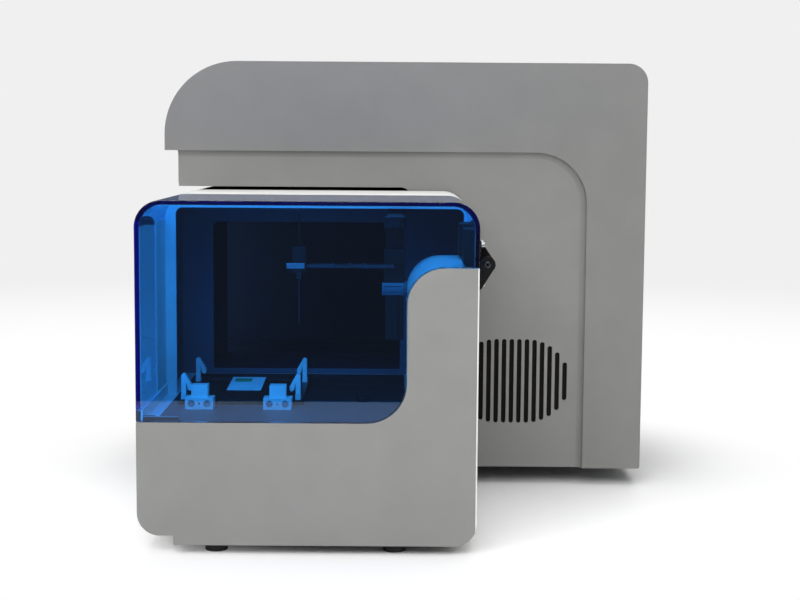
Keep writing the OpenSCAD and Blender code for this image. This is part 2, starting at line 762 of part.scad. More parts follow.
// Stepped stop in front of the nest, held by two counterbored screws.
module plate_stop(x) {
  difference() {
    union() {
      block([x, x + stop_width], [stop_y, stop_y + stop_depth], [floor_height, floor_height + stop_low]);
      block([x + (stop_width - stop_neck) / 2, x + (stop_width + stop_neck) / 2],
            [stop_y + stop_step, stop_y + stop_depth],
            [floor_height + stop_low - weld, floor_height + stop_low + stop_high]);
    }
    mid = floor_height + stop_low / 2;
    for (s = [-1, 1]) {
      rod_y(x + stop_width / 2 + s * stop_screw, stop_y - over, stop_y + stop_step, mid, bore_radius);
      rod_y(x + stop_width / 2 + s * stop_screw, stop_y, stop_y + stop_depth + over, mid, shank_radius);
    }
    rod_y(x + stop_width / 2, stop_y - over, stop_y + 8, mid, 1.2);
  }
}

module left_stop() color([0.93, 0.93, 0.92]) plate_stop(stop_x[0]);
module right_stop() color([0.93, 0.93, 0.92]) plate_stop(stop_x[1]);

// Socket-head screws of both stops.
module stop_screws() color([0.6, 0.61, 0.63])
  for (x = stop_x, s = [-1, 1]) difference() {
    mid = floor_height + stop_low / 2;
    sx = x + stop_width / 2 + s * stop_screw;
    union() {
      rod_y(sx, stop_y + 0.5, stop_y + stop_step, mid, head_radius);
      rod_y(sx, stop_y + stop_step - weld, stop_y + stop_depth, mid, shank_radius);
    }
    translate([sx, stop_y + 2.5, mid]) rotate([90, 0, 0]) cylinder(h = 4, r = 1.7, $fn = 6);
  }

// One hooked clip on its pivot; side is -1 on the left and 1 on the right.
module clip(x, y, side) {
  translate([x, y, clip_pivot_z]) mirror([side < 0 ? 1 : 0, 0, 0]) difference() {
    union() {
      along_y(-clip_depth / 2, clip_depth / 2)
        polygon([[clip_leg, 0], [clip_leg, clip_height - 1.5], [clip_leg - 1.5, clip_height], [-1.6, clip_height],
                 [-clip_reach, clip_height - 14], [-clip_reach, clip_height - 18.5],
                 [2 - clip_reach, clip_height - 20], [-clip_leg - 2, clip_height - 18.5],
                 [-clip_leg, clip_height - 10], [-clip_leg, 0]]);
      rod_y(0, -clip_depth / 2, clip_depth / 2, 0, clip_barrel);
    }
    rod_y(0, -clip_depth, clip_depth, 0, clip_pin + pin_gap);
  }
}

module clip_front_left() color([0.94, 0.94, 0.93]) clip(clip_x[0], clip_y[0], -1);
module clip_front_right() color([0.94, 0.94, 0.93]) clip(clip_x[1], clip_y[0], 1);
module clip_rear_left() color([0.94, 0.94, 0.93]) clip(clip_x[0], clip_y[1], -1);
module clip_rear_right() color([0.94, 0.94, 0.93]) clip(clip_x[1], clip_y[1], 1);

// Ears and pivot pins that hold the four clips on the deck.
module clip_brackets() color([0.9, 0.9, 0.89])
  for (x = clip_x, y = clip_y) {
    reach = clip_depth / 2 + fit_gap + ear;
    for (s = [-1, 1]) {
      e = y + s * (reach - ear / 2);
      block([x - 3, x + 3], [e - ear / 2, e + ear / 2], [deck_z, clip_pivot_z]);
      rod_y(x, e - ear / 2, e + ear / 2, clip_pivot_z, 3);
    }
    rod_y(x, y - reach, y + reach, clip_pivot_z, clip_pin);
  }

// Bare pale card that lies on the deck with its rear edge propped on the rib.
module plate_card() color([0.9, 0.93, 0.92])
  translate([card_x, card_y, deck_z + card_lift]) rotate([card_slope, 0, 0])
    cube([card_width, card_length, card_sheet]);

// Section: sampling arm.

// Grooved rail under the casing's roof, reaching forward over the nest.
module gantry_rail() color([0.13, 0.13, 0.14]) {
  difference() {
    block([rail_x - rail_half, rail_x + rail_half], rail_y, [rail_z - rail_half_height, rail_z + rail_half_height]);
    for (s = [-1, 1]) block([rail_x + s * rail_half - rail_groove, rail_x + s * rail_half + rail_groove],
                            [rail_y[0] - over, rail_y[1] + over],
                            [rail_z - rail_groove, rail_z + rail_groove]);
  }
  block([rail_x - rail_half, rail_x + rail_half], [flange_y + 2 * sheet, rail_y[1] - 10],
        [rail_z + rail_half_height - weld, sampler_height - sheet]);
}

// Saddle that wraps the rail and carries the mast.
module gantry_saddle() color([0.2, 0.2, 0.22]) {
  half = rail_half + fit_gap + saddle_wall;
  y = [arm_y - 14, mast_y + mast_depth];
  bottom = rail_z - rail_half_height - fit_gap;
  block([rail_x - half, rail_x + half], y, [bottom - saddle_wall, bottom]);
  for (s = [-1, 1]) {
    x = rail_x + s * (half - saddle_wall / 2);
    block([x - saddle_wall / 2, x + saddle_wall / 2], y, [bottom - weld, rail_z + 4]);
    lip = rail_x + s * (rail_half + fit_gap - saddle_lip / 2 + weld);
    block([lip - saddle_lip / 2 - weld, lip + saddle_lip / 2], y,
          [rail_z - rail_groove + fit_gap, rail_z + rail_groove - fit_gap]);
  }
}

// Mast that hangs from the saddle and guides the lift.
module lift_mast() color([0.24, 0.24, 0.26]) {
  top = rail_z - rail_half_height - fit_gap - saddle_wall;
  block([rail_x - mast_half, rail_x + mast_half], [mast_y - mast_depth, mast_y + mast_depth], [mast_foot_z, top]);
  block([rail_x - tongue_half, rail_x + tongue_half],
        [mast_y - mast_depth - tongue_depth, mast_y - mast_depth + weld], [mast_foot_z, top]);
}

// Lift block that slides down the mast.
module lift_block() color([0.3, 0.3, 0.32]) {
  difference() {
    block([rail_x - slider_half, rail_x + slider_half], [arm_y + beam_back, mast_y - mast_depth - fit_gap],
          [arm_height - slider_half_height, arm_height + slider_half_height]);
    block([rail_x - tongue_half - fit_gap, rail_x + tongue_half + fit_gap],
          [mast_y - mast_depth - tongue_depth - fit_gap, mast_y],
          [arm_height - slider_half_height - over, arm_height + slider_half_height + over]);
  }
}

// Rear beam, fixed to the lift, with the groove the front beam runs in.
module rear_beam() color([0.18, 0.19, 0.2])
  difference() {
    block([beam_back_left, beam_right + beam_end], [arm_y, arm_y + beam_back],
          [arm_height - beam_half - 0.5, arm_height + beam_half + 0.5]);
    block([beam_back_left - over, beam_right + beam_end + over], [arm_y - over, arm_y + 3.4],
          [arm_height - 1 - fit_gap, arm_height + 1 + fit_gap]);
  }

// Front beam that telescopes to the left.
module front_beam() color([0.75, 0.78, 0.82]) {
  block([beam_left, beam_right], [arm_y - fit_gap - beam_front, arm_y - fit_gap],
        [arm_height - beam_half, arm_height + beam_half]);
  block([beam_right - beam_tongue, beam_right], [arm_y - fit_gap - weld, arm_y + 3],
        [arm_height - 1, arm_height + 1]);
  for (k = [0.42, 0.58, 0.72])
    rod_z(beam_left + k * (beam_right - beam_left), arm_y - 2.2, arm_height + beam_half - weld,
          arm_height + beam_half + 1.6, 1.8);
}

// Carriage that wraps the front beam and holds the needle and its guide rod.
module probe_carriage() color([0.16, 0.17, 0.19]) {
  front = arm_y - fit_gap - beam_front;
  x = [probe_x - probe_half, probe_x + probe_half];
  block(x, [front - probe_wrap, front + 4], [arm_height + beam_half + fit_gap, arm_height + probe_top]);
  block(x, [front - probe_wrap, front - fit_gap], [arm_height - probe_low, arm_height + probe_top]);
  block(x, [front - probe_wrap, front + 4], [arm_height - probe_low, arm_height - beam_half - fit_gap]);
  rod_z(probe_x, front - 2, arm_height + probe_top - weld, arm_height + guide_top, 1);
}

// Hollow needle under the carriage.
module needle() color([0.8, 0.81, 0.83]) {
  y = arm_y - fit_gap - beam_front - 4;
  hub_z = arm_height - probe_low - needle_hub;
  rod_z(probe_x, y, hub_z, arm_height - probe_low, 3);
  rod_z(probe_x, y, hub_z - needle_length, hub_z + weld, needle_radius);
}

// Section: wash station and pump.

// Round wash cup with the well for the needle.
module wash_cup() color([0.1, 0.1, 0.12])
  difference() {
    rod_z(cup_x, cup_y, floor_height, floor_height + cup_height, cup_radius);
    rod_z(cup_x, cup_y, floor_height + sheet, floor_height + cup_height + over, cup_radius - cup_wall);
  }

// Bearing flange and spindle of the roller pump on the column's left wall.
module pump_mount() color([0.3, 0.33, 0.36]) {
  rod_x(column_x - sheet, column_x, pump_y, pump_z, pump_radius + 2);
  rod_x(column_x - pump_reach, column_x - sheet + weld, pump_y, pump_z, spindle);
}

// Rotor of the roller pump: two discs with rollers between them.
module pump_rotor() color([0.35, 0.6, 0.68]) {
  x0 = column_x - pump_reach;
  x1 = column_x - sheet - move_gap;
  between = [x0 + pump_disc - weld, x1 - pump_disc + weld];
  difference() {
    union() {
      rod_x(x0, x0 + pump_disc, pump_y, pump_z, pump_radius);
      rod_x(x1 - pump_disc, x1, pump_y, pump_z, pump_radius);
      rod_x(between[0], between[1], pump_y, pump_z, pump_core);
      for (i = [0 : pump_rollers - 1]) {
        a = i * 360 / pump_rollers;
        rod_x(between[0], between[1], pump_y + roller_track * cos(a),
              pump_z + roller_track * sin(a), pump_roller);
      }
    }
    rod_x(x0 - over, x1 + over, pump_y, pump_z, spindle + pin_gap);
  }
}

cabinet_cover();
docking_side_panel();
far_side_panel();
nose_fascia();
base_pan();
bay_liner();
sample_port();
cabinet_feet();
vent_filter();
fan_frame();
fan_rotor();
connector_panel();
power_inlet();
power_rocker();
data_ports();
front_panel();
sampler_base();
sampler_pan();
sampler_column();
chamber_floor();
rear_tray();
sampler_casing();
docking_neck();
sampler_feet();
dock_brackets();
hood();
hood_leaves();
column_leaves();
hinge_pins();
hinge_backing();
hood_keeper();
catch_magnet();
nest_plate();
left_stop();
right_stop();
stop_screws();
clip_front_left();
clip_front_right();
clip_rear_left();
clip_rear_right();
clip_brackets();
plate_card();
gantry_rail();
gantry_saddle();
lift_mast();
lift_block();
rear_beam();
front_beam();
probe_carriage();
needle();
wash_cup();
pump_mount();
pump_rotor();
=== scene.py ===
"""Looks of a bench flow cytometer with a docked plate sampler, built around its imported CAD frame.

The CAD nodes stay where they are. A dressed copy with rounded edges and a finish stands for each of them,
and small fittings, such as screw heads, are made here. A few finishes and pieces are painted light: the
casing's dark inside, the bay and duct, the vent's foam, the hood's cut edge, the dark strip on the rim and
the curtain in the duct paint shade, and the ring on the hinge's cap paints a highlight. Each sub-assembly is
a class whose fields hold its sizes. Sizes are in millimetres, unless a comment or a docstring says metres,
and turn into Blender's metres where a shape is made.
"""

import json
import logging
import math
from dataclasses import dataclass
from enum import Enum
from typing import Any, Dict, Iterable, List, Optional, Sequence, Tuple, Union

import bmesh
import bpy
from mathutils import Matrix, Vector

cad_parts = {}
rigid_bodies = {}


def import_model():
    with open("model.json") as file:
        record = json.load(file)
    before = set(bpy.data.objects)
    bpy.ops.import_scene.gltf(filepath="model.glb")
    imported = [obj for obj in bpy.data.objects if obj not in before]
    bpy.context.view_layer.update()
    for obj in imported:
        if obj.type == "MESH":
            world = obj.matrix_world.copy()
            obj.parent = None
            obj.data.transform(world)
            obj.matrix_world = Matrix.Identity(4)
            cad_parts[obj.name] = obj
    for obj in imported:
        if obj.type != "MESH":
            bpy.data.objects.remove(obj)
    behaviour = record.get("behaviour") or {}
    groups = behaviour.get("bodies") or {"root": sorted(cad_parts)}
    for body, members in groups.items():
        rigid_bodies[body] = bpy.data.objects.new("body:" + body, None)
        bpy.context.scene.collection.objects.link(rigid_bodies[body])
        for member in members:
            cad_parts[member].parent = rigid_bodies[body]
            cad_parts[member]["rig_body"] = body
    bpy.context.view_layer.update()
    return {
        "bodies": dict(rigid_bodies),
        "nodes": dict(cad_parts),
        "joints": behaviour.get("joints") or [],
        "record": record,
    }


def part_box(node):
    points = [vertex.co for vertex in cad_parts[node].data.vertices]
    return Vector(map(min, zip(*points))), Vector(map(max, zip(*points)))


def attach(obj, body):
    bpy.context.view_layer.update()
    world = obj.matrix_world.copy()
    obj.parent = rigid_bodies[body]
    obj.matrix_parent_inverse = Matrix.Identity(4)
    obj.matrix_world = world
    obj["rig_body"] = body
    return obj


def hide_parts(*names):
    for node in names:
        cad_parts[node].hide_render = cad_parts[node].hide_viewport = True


LOG = logging.getLogger("cytometer")
MM = 0.001

Item = bpy.types.Object
Material = bpy.types.Material
Node = bpy.types.Node
Tree = bpy.types.NodeTree
Shape = bmesh.types.BMesh
Pair = Tuple[float, float]
Point = Tuple[float, float, float]
Box = Tuple[Vector, Vector]
Color = Tuple[float, float, float, float]
# A node's socket goes by its name or number.
Socket = Union[str, int]
Values = Dict[Socket, Any]
Link = Tuple[Node, Socket, Node, Socket]

# The thickness of the hood's wall, which the acrylic's tint and the rim's painted dark edge both go by.
HOOD_WALL = 5.0
# Strips to a rounded edge: the usual number, and the number for the edges that are seen best.
STRIPS = 2
FINE_STRIPS = 3
# Directions that screw heads face.
BACK = (1, 0, 0)
FAR_SIDE = (0, 1, 0)
DOWN = (0, 0, -1)
WHITE_LIGHT = (1, 1, 1, 1)
# Sides of a hexagon.
HEXAGON = 6


def linear(colour: str) -> Color:
    """Turns an sRGB colour such as "#9fa09e" into the linear RGBA that Blender's sockets take.

    Args:
        colour: six hexadecimal digits after a hash sign.

    Returns:
        Linear red, green, blue and an alpha of 1.
    """
    channels = [int(colour[i : i + 2], 16) / 255 for i in (1, 3, 5)]
    shares = [c / 12.92 if c <= 0.04045 else ((c + 0.055) / 1.055) ** 2.4 for c in channels]
    return shares[0], shares[1], shares[2], 1.0


def add(tree: Tree, kind: str, values: Optional[Values] = None, **options: str) -> Node:
    """Adds a node to a material, a world or a node group.

    Args:
        tree: the node tree it goes into.
        kind: Blender's name for this kind of node.
        values: constants for its sockets, by the sockets' names or numbers.
        options: settings of the node itself, such as its operation.

    Returns:
        The new node.
    """
    node = tree.nodes.new(kind)
    for option, choice in options.items():
        setattr(node, option, choice)
    fill(node, values or {})
    return node


def fill(node: Node, values: Values) -> None:
    """Puts constants on a node's own sockets."""
    for socket, value in values.items():
        node.inputs[socket].default_value = value


def wire(tree: Tree, *links: Link) -> None:
    """Makes links, each from a node and its output to a node and its input."""
    for source, output, target, entry in links:
        tree.links.new(source.outputs[output], target.inputs[entry])


def coating(name: str, values: Values) -> Tuple[Material, Tree, Node]:
    """Makes a material from Blender's Principled shader.

    Args:
        name: the material's plain name.
        values: constants for the shader's sockets.

    Returns:
        The material, its node tree and the shader.
    """
    material = bpy.data.materials.new(name)
    material.use_nodes = True
    tree = material.node_tree
    shader = tree.nodes["Principled BSDF"]
    fill(shader, values)
    return material, tree, shader


def show(name: str, data: Any) -> Item:
    """Links a new object to the scene, at the origin.

    Args:
        name: plain name.
        data: its mesh, lamp or camera.

    Returns:
        The object.
    """
    item = bpy.data.objects.new(name, data)
    bpy.context.scene.collection.objects.link(item)
    return item


def meshed(name: str, shape: Shape) -> bpy.types.Mesh:
    """Turns a shape into a mesh of the given name and frees the shape."""
    mesh = bpy.data.meshes.new(name)
    shape.to_mesh(mesh)
    shape.free()
    return mesh


def millimetres(box: Box) -> Box:
    """Turns the two corners of a box in metres into millimetres."""
    return box[0] / MM, box[1] / MM


class Look(Enum):
    """How a finish is built."""

    PAINT = "paint"
    PLASTIC = "plastic"
    METAL = "metal"
    ACRYLIC = "acrylic"


@dataclass(frozen=True)
class Finish:
    """A surface finish: a real material, or painted shade or highlight where its comment says so.

    Args:
        name: the material's plain name.
        look: which kind of shader it needs.
        colour: sRGB hex colour.
        roughness: mean roughness of the surface.
        slot: the record's material slot it belongs to; not used.
        grain_size: size of the fine texture, 0 for none.
        grain: strength of the fine texture's bump.
        specular: level of the surface's plain reflection, 0.5 for most coats and plastics.
    """

    name: str
    look: Look
    colour: str
    roughness: float
    slot: str
    grain_size: float = 0.0
    grain: float = 0.0
    specular: float = 0.5


COVER = Finish("powder_coat_grey", Look.PAINT, "#757573", 0.48, "cover_paint", 0.9, 0.10)
SIDE = Finish("powder_coat_grey_side", Look.PAINT, "#7b7b79", 0.50, "panel_paint", 0.9, 0.10)
FRONT = Finish("satin_paint_front", Look.PAINT, "#7a7a78", 0.46, "front_paint", 0.8, 0.06)
CASING = Finish("satin_paint_light_grey", Look.PAINT, "#eeeeec", 0.42, "casing_paint", 0.8, 0.05)
DARK_SHEET = Finish("black_coated_sheet", Look.PAINT, "#1a1b1f", 0.55, "dark_sheet", 0.7, 0.08, 0.25)
# Painted shade: near black with a blue cast for the bay's liner and the duct, which lie in shade deep
# inside.
BAY_SHADE = Finish("bay_and_duct_painted_shade", Look.PAINT, "#13172a", 0.6, "dark_sheet", 0.7, 0.08, 0.15)
PAN = Finish("dark_grey_coated_steel", Look.PAINT, "#4a4b4d", 0.5, "pan_steel", 0.7, 0.06)
FLOOR = Finish("slate_grey_coated_floor", Look.PAINT, "#55565a", 0.5, "floor_sheet", 0.6, 0.06)
STEEL = Finish("stainless_steel", Look.METAL, "#c6c8ca", 0.28, "steel", 0.4, 0.03)
RUBBER = Finish("black_rubber", Look.PLASTIC, "#141414", 0.75, "rubber", 0.5, 0.15)
BLACK = Finish("black_moulded_plastic", Look.PLASTIC, "#131417", 0.5, "black_plastic", 0.4, 0.05, 0.25)
FAN = Finish("black_fan_plastic", Look.PLASTIC, "#1b1c1e", 0.5, "fan_plastic", 0.4, 0.04)
WHITE = Finish("white_acetal", Look.PLASTIC, "#f2f2ee", 0.35, "white_plastic", 0.5, 0.02)
CARD = Finish("matt_white_card", Look.PLASTIC, "#fcfffd", 0.6, "card", 0.3, 0.02)
GREEN = Finish("green_ink_band", Look.PLASTIC, "#35b070", 0.6, "card", 0.3, 0.02)
ACRYLIC = Finish("blue_acrylic_sheet", Look.ACRYLIC, "#b0ddff", 0.0, "blue_acrylic")
# Painted shade: opaque dark blue on the hood's cut edge, where the clear acrylic looks dark seen edge-on.
CUT_EDGE_SHADE = Finish("acrylic_cut_edge_painted_dark", Look.PLASTIC, "#0c1c46", 0.25, "blue_acrylic", 0.3, 0.02)
ANODISED = Finish("black_anodised_aluminium", Look.PLASTIC, "#101115", 0.45, "anodised_dark", 0.3, 0.03, 0.3)
ALUMINIUM = Finish("clear_anodised_aluminium", Look.METAL, "#c3c8d0", 0.35, "anodised_clear", 0.3, 0.03)
BEAM = Finish("grey_anodised_aluminium", Look.METAL, "#54585f", 0.4, "anodised_clear", 0.3, 0.03)
TUBE = Finish("dull_steel_tube", Look.METAL, "#5b5e62", 0.22, "steel", 0.2, 0.02)
# Painted shade: a dark grey for the inside of the light grey casing, which lies in shade under its roof.
CASING_INSIDE_SHADE = Finish("casing_inside_painted_shade", Look.PLASTIC, "#555b6a", 0.7, "casing_paint", 0.6, 0.08)
# Painted shade: near-black foam behind the vent's slots, where the vent's inside lies in shade.
VENT_SHADE_FOAM = Finish("black_foam_vent_shade", Look.PLASTIC, "#171514", 0.9, "black_plastic", 1.4, 0.5, 0.1)
HINGE = Finish("black_hinge_casting", Look.PLASTIC, "#0b0a0a", 0.6, "hinge_black", 0.4, 0.06, 0.15)
# Painted highlight: a lighter grey ring for the bright rim on the end of the hinge's barrel.
HINGE_RING_HIGHLIGHT = Finish("hinge_ring_painted_highlight", Look.METAL, "#5c5d62", 0.35, "hinge_black", 0.2, 0.03)
PUMP = Finish("teal_pump_plastic", Look.PLASTIC, "#2f6472", 0.4, "pump_plastic", 0.3, 0.02)


class Palette:
    """Makes each finish's material once."""

    # Height and detail of the fine grain, and size, detail and roughness of the slow drift's cloud.
    GRAIN_HEIGHT = 0.1
    GRAIN_DETAIL = 2.0
    CLOUD = 45.0
    CLOUD_DETAIL = 5.0
    CLOUD_ROUGHNESS = 0.6
    # The noise's values between which the drift runs, and how far colour and roughness go either way.
    DRIFT = (0.3, 0.7)
    MOTTLE = 0.035
    SHEEN = 0.05
    # Acrylic's refraction, and the share of red, green and blue that passes one wall of the hood.
    ACRYLIC_IOR = 1.49
    DEPTH_TINT = (0.38, 0.74, 0.935)

    def __init__(self) -> None:
        """Starts with no material made."""
        self._made: Dict[str, Material] = {}

    def get(self, finish: Finish) -> Material:
        """Gives out a finish's material and builds it the first time.

        Args:
            finish: the surface finish.

        Returns:
            Its material.
        """
        if finish.name not in self._made:
            builder = self._acrylic if finish.look is Look.ACRYLIC else self._surface
            self._made[finish.name] = builder(finish)
            LOG.info("material %s", finish.name)
        return self._made[finish.name]

    def _surface(self, finish: Finish) -> Material:
        """Opaque paint, plastic or metal with a fine grain in object coordinates.

        Args:
            finish: the surface finish.

        Returns:
            Its material.
        """
        material, tree, shader = coating(finish.name, {
            "Base Color": linear(finish.colour), "Roughness": finish.roughness,
            "Metallic": 1.0 if finish.look is Look.METAL else 0.0, "Specular IOR Level": finish.specular})
        if finish.grain_size > 0:
            place = add(tree, "ShaderNodeTexCoord")
            noise = add(tree, "ShaderNodeTexNoise",
                        {"Scale": 1 / (finish.grain_size * MM), "Detail": self.GRAIN_DETAIL})
            bump = add(tree, "ShaderNodeBump",
                       {"Strength": finish.grain, "Distance": self.GRAIN_HEIGHT * MM})
            wire(tree, (place, "Object", noise, "Vector"), (noise, "Fac", bump, "Height"),
                 (bump, "Normal", shader, "Normal"))
            self._drift(tree, shader, finish, place)
        return material

    def _drift(self, tree: Tree, shader: Node, finish: Finish, place: Node) -> None:
        """Lets a finish's colour and roughness drift slowly over its surface.

        Args:
            tree: the material's node tree.
            shader: its Principled shader.
            finish: the finish.
            place: the node that gives the place on the piece.
        """
        cloud = add(tree, "ShaderNodeTexNoise",
                    {"Scale": 1 / (self.CLOUD * MM), "Detail": self.CLOUD_DETAIL,
                     "Roughness": self.CLOUD_ROUGHNESS})
        tone = add(tree, "ShaderNodeValToRGB")
        shares = linear(finish.colour)[:3]
        factors = (1 - self.MOTTLE, 1 + self.MOTTLE)
        for stop, at, factor in zip(tone.color_ramp.elements, self.DRIFT, factors):
            stop.position = at
            stop.color = (*(min(share * factor, 1) for share in shares), 1.0)
        sheen = add(tree, "ShaderNodeMapRange",
                    {"From Min": self.DRIFT[0], "From Max": self.DRIFT[1],
                     "To Min": max(finish.roughness - self.SHEEN, self.SHEEN),
                     "To Max": min(finish.roughness + self.SHEEN, 1.0)})
        wire(tree, (place, "Object", cloud, "Vector"), (cloud, "Fac", tone, "Fac"),
             (cloud, "Fac", sheen, "Value"), (tone, "Color", shader, "Base Color"),
             (sheen, "Result", shader, "Roughness"))

    def _acrylic(self, finish: Finish) -> Material:
        """Clear tinted sheet: refracts and mirrors for the eye, lets light pass, darkens with its depth.

        Args:
            finish: the surface finish.

        Returns:
            Its material.
        """
        material, tree, sheet = coating(finish.name, {
            "Base Color": linear(finish.colour), "Roughness": finish.roughness, "IOR": self.ACRYLIC_IOR,
            "Transmission Weight": 1.0})
        output = tree.nodes["Material Output"]
        clear = add(tree, "ShaderNodeBsdfTransparent",
                    {"Color": [math.sqrt(share) for share in linear(finish.colour)]})
        losses = [-math.log(share) / (HOOD_WALL * MM) for share in self.DEPTH_TINT]
        depth = add(tree, "ShaderNodeVolumeAbsorption",
                    {"Density": max(losses), "Color": (*(1 - loss / max(losses) for loss in losses), 1.0)})
        rays = add(tree, "ShaderNodeLightPath")
        mix = add(tree, "ShaderNodeMixShader")
        passing = add(tree, "ShaderNodeMath", operation="MAXIMUM")
        wire(tree, (rays, "Is Shadow Ray", passing, 0), (rays, "Is Diffuse Ray", passing, 1),
             (passing, 0, mix, "Fac"), (sheet, 0, mix, 1), (clear, 0, mix, 2), (mix, 0, output, "Surface"),
             (depth, 0, output, "Volume"))
        return material


@dataclass(frozen=True)
class Patch:
    """A second finish on those faces of a dressed node whose middles lie in a box.

    Args:
        node: the CAD node.
        finish: the finish of those faces.
        inset: how far the box lies inside the node's own box, at its low and high corners.
        inward: whether only faces that look towards the box's middle take the finish.
    """

    node: str
    finish: Finish
    inset: Tuple[Point, Point]
    inward: bool


@dataclass
class Builder:
    """Turns shapes into finished pieces that ride on CAD bodies.

    Args:
        palette: where the materials come from.
        count: how many pieces it has made.
    """

    # Vertices of a CAD mesh that lie closer than this become one, and faces that meet at fewer degrees than
    # this are one flat face. Edges sharper than the third number are rounded, or drawn sharp if they stay.
    MERGE = 0.002
    FLAT = 0.4
    SHARP = 28
    # How strongly the large faces lead the shading beside a rounded edge, from 1 to 100.
    LEAD = 100

    frame: Dict[str, Any]
    palette: Palette
    count: int = 0

    def place(self, name: str, shape: Shape, finish: Finish, body: str, edge: float = 0.0,
              strips: int = STRIPS) -> Item:
        """Makes an object from a shape, rounds its edges and lets it ride on a body.

        Args:
            name: plain name of the piece.
            shape: the shape in metres; it is freed here.
            finish: the surface finish.
            body: the CAD body it moves with.
            edge: radius of the rounded edges, 0 to leave them sharp.
            strips: how many strips a rounded edge has.

        Returns:
            The finished object.
        """
        bmesh.ops.recalc_face_normals(shape, faces=shape.faces)
        mesh = meshed(name, shape)
        piece = show(name, mesh)
        mesh.materials.clear()
        mesh.materials.append(self.palette.get(finish))
        mesh.shade_smooth()
        if edge > 0:
            bevel = piece.modifiers.new("edges", "BEVEL")
            bevel.width = edge * MM
            bevel.segments = strips
            bevel.limit_method = "ANGLE"
            bevel.angle_limit = math.radians(self.SHARP)
            weight = piece.modifiers.new("normals", "WEIGHTED_NORMAL")
            weight.mode = "FACE_AREA"
            weight.weight = self.LEAD
            weight.keep_sharp = True
            self.bake(piece)
        else:
            mesh.set_sharp_from_angle(angle=math.radians(self.SHARP))
        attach(piece, body)
        self.count += 1
        LOG.info("piece %s: %d faces on %s", name, len(piece.data.polygons), body)
        return piece

    @staticmethod
    def bake(piece: Item) -> None:
        """Turns a piece's modifiers into plain mesh.

        Args:
            piece: the object with the modifiers.
        """
        graph = bpy.context.evaluated_depsgraph_get()
        baked = bpy.data.meshes.new_from_object(piece.evaluated_get(graph))
        piece.modifiers.clear()
        old = piece.data
        piece.data = baked
        bpy.data.meshes.remove(old)

    def dress(self, node: str, finish: Finish, edge: float, strips: int) -> Item:
        """Stands a rounded copy of a CAD node in its place.

        Args:
            node: the CAD node.
            finish: its surface finish.
            edge: radius of the rounded edges.
            strips: strips to a rounded edge.

        Returns:
            The object that replaces the node.
        """
        source = self.frame["nodes"][node]
        shape = bmesh.new()
        shape.from_mesh(source.data)
        bmesh.ops.remove_doubles(shape, verts=shape.verts, dist=self.MERGE * MM)
        bmesh.ops.dissolve_limit(shape, angle_limit=math.radians(self.FLAT), verts=shape.verts,
                                 edges=shape.edges)
        piece = self.place(node + "_skin", shape, finish, source["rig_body"], edge, strips)
        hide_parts(node)
        return piece

    def patch(self, piece: Item, patch: Patch) -> None:
        """Gives a second finish to some faces of a dressed copy.

        Args:
            piece: the dressed copy.
            patch: which faces take which finish.
        """
        low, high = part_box(patch.node)
        start, end = low + Vector(patch.inset[0]) * MM, high - Vector(patch.inset[1]) * MM
        middle = (start + end) / 2
        piece.data.materials.append(self.palette.get(patch.finish))
        inside = [face for face in piece.data.polygons
                  if all(a <= c <= b for a, c, b in zip(start, face.center, end))
                  and not (patch.inward and face.normal.dot(middle - face.center) < 0)]
        for face in inside:
            face.material_index = 1
        LOG.info("patch %s: %d faces in %s", patch.node, len(inside), patch.finish.name)


def brick(low: Sequence[float], high: Sequence[float]) -> Shape:
    """Box between two corners.

    Args:
        low: its lowest corner.
        high: its highest corner.

    Returns:
        The box in metres.
    """
    shape = bmesh.new()
    size = [(b - a) * MM for a, b in zip(low, high)]
    mid = [(a + b) / 2 * MM for a, b in zip(low, high)]
    bmesh.ops.create_cube(shape, size=1, matrix=Matrix.Translation(mid) @ Matrix.Diagonal((*size, 1)))
    return shape


def rod(start: Sequence[float], end: Sequence[float], radius: float, sides: int) -> Shape:
    """Round bar between two points.

    Args:
        start: middle of one end.
        end: middle of the other.
        radius: its radius.
        sides: its flat sides.

    Returns:
        The bar in metres.
    """
    a, b = Vector(start) * MM, Vector(end) * MM
    axis = b - a
    turn = Vector((0, 0, 1)).rotation_difference(axis.normalized()).to_matrix().to_4x4()
    shape = bmesh.new()
    bmesh.ops.create_cone(shape, cap_ends=True, segments=sides, radius1=radius * MM, radius2=radius * MM,
                          depth=axis.length, matrix=Matrix.Translation((a + b) / 2) @ turn)
    return shape


def joined(shapes: Iterable[Shape]) -> Shape:
    """Puts several shapes into one and frees them.

    Args:
        shapes: what to join.

    Returns:
        One shape with all of them.
    """
    whole = bmesh.new()
    for shape in shapes:
        mesh = meshed("part", shape)
        whole.from_mesh(mesh)
        bpy.data.meshes.remove(mesh)
    return whole


def lathe(shape: Shape, rings: Sequence[Sequence[bmesh.types.BMVert]]) -> None:
    """Joins each ring of vertices to the next one with a band of faces.

    Args:
        shape: the shape that the vertices are in.
        rings: rings with the same number of vertices.
    """
    for one, two in zip(rings, rings[1:]):
        for i in range(len(one)):
            j = (i + 1) % len(one)
            shape.faces.new((one[i], one[j], two[j], two[i]))


def grid(xs: Sequence[float], ys: Sequence[float], zs: Sequence[float]) -> Tuple[Point, ...]:
    """Every combination of the given coordinates."""
    return tuple((x, y, z) for x in xs for y in ys for z in zs)


@dataclass(frozen=True)
class ScrewRow:
    """A set of equal screws.

    Args:
        name: plain name of the set.
        heads: the centres of the heads' seats.
        axis: the direction the heads face.
        radius: radius of a head.
        height: how far a head stands out.
        body: the CAD body they sit on.
    """

    name: str
    heads: Tuple[Point, ...]
    axis: Point
    radius: float
    height: float
    body: str = "instrument"


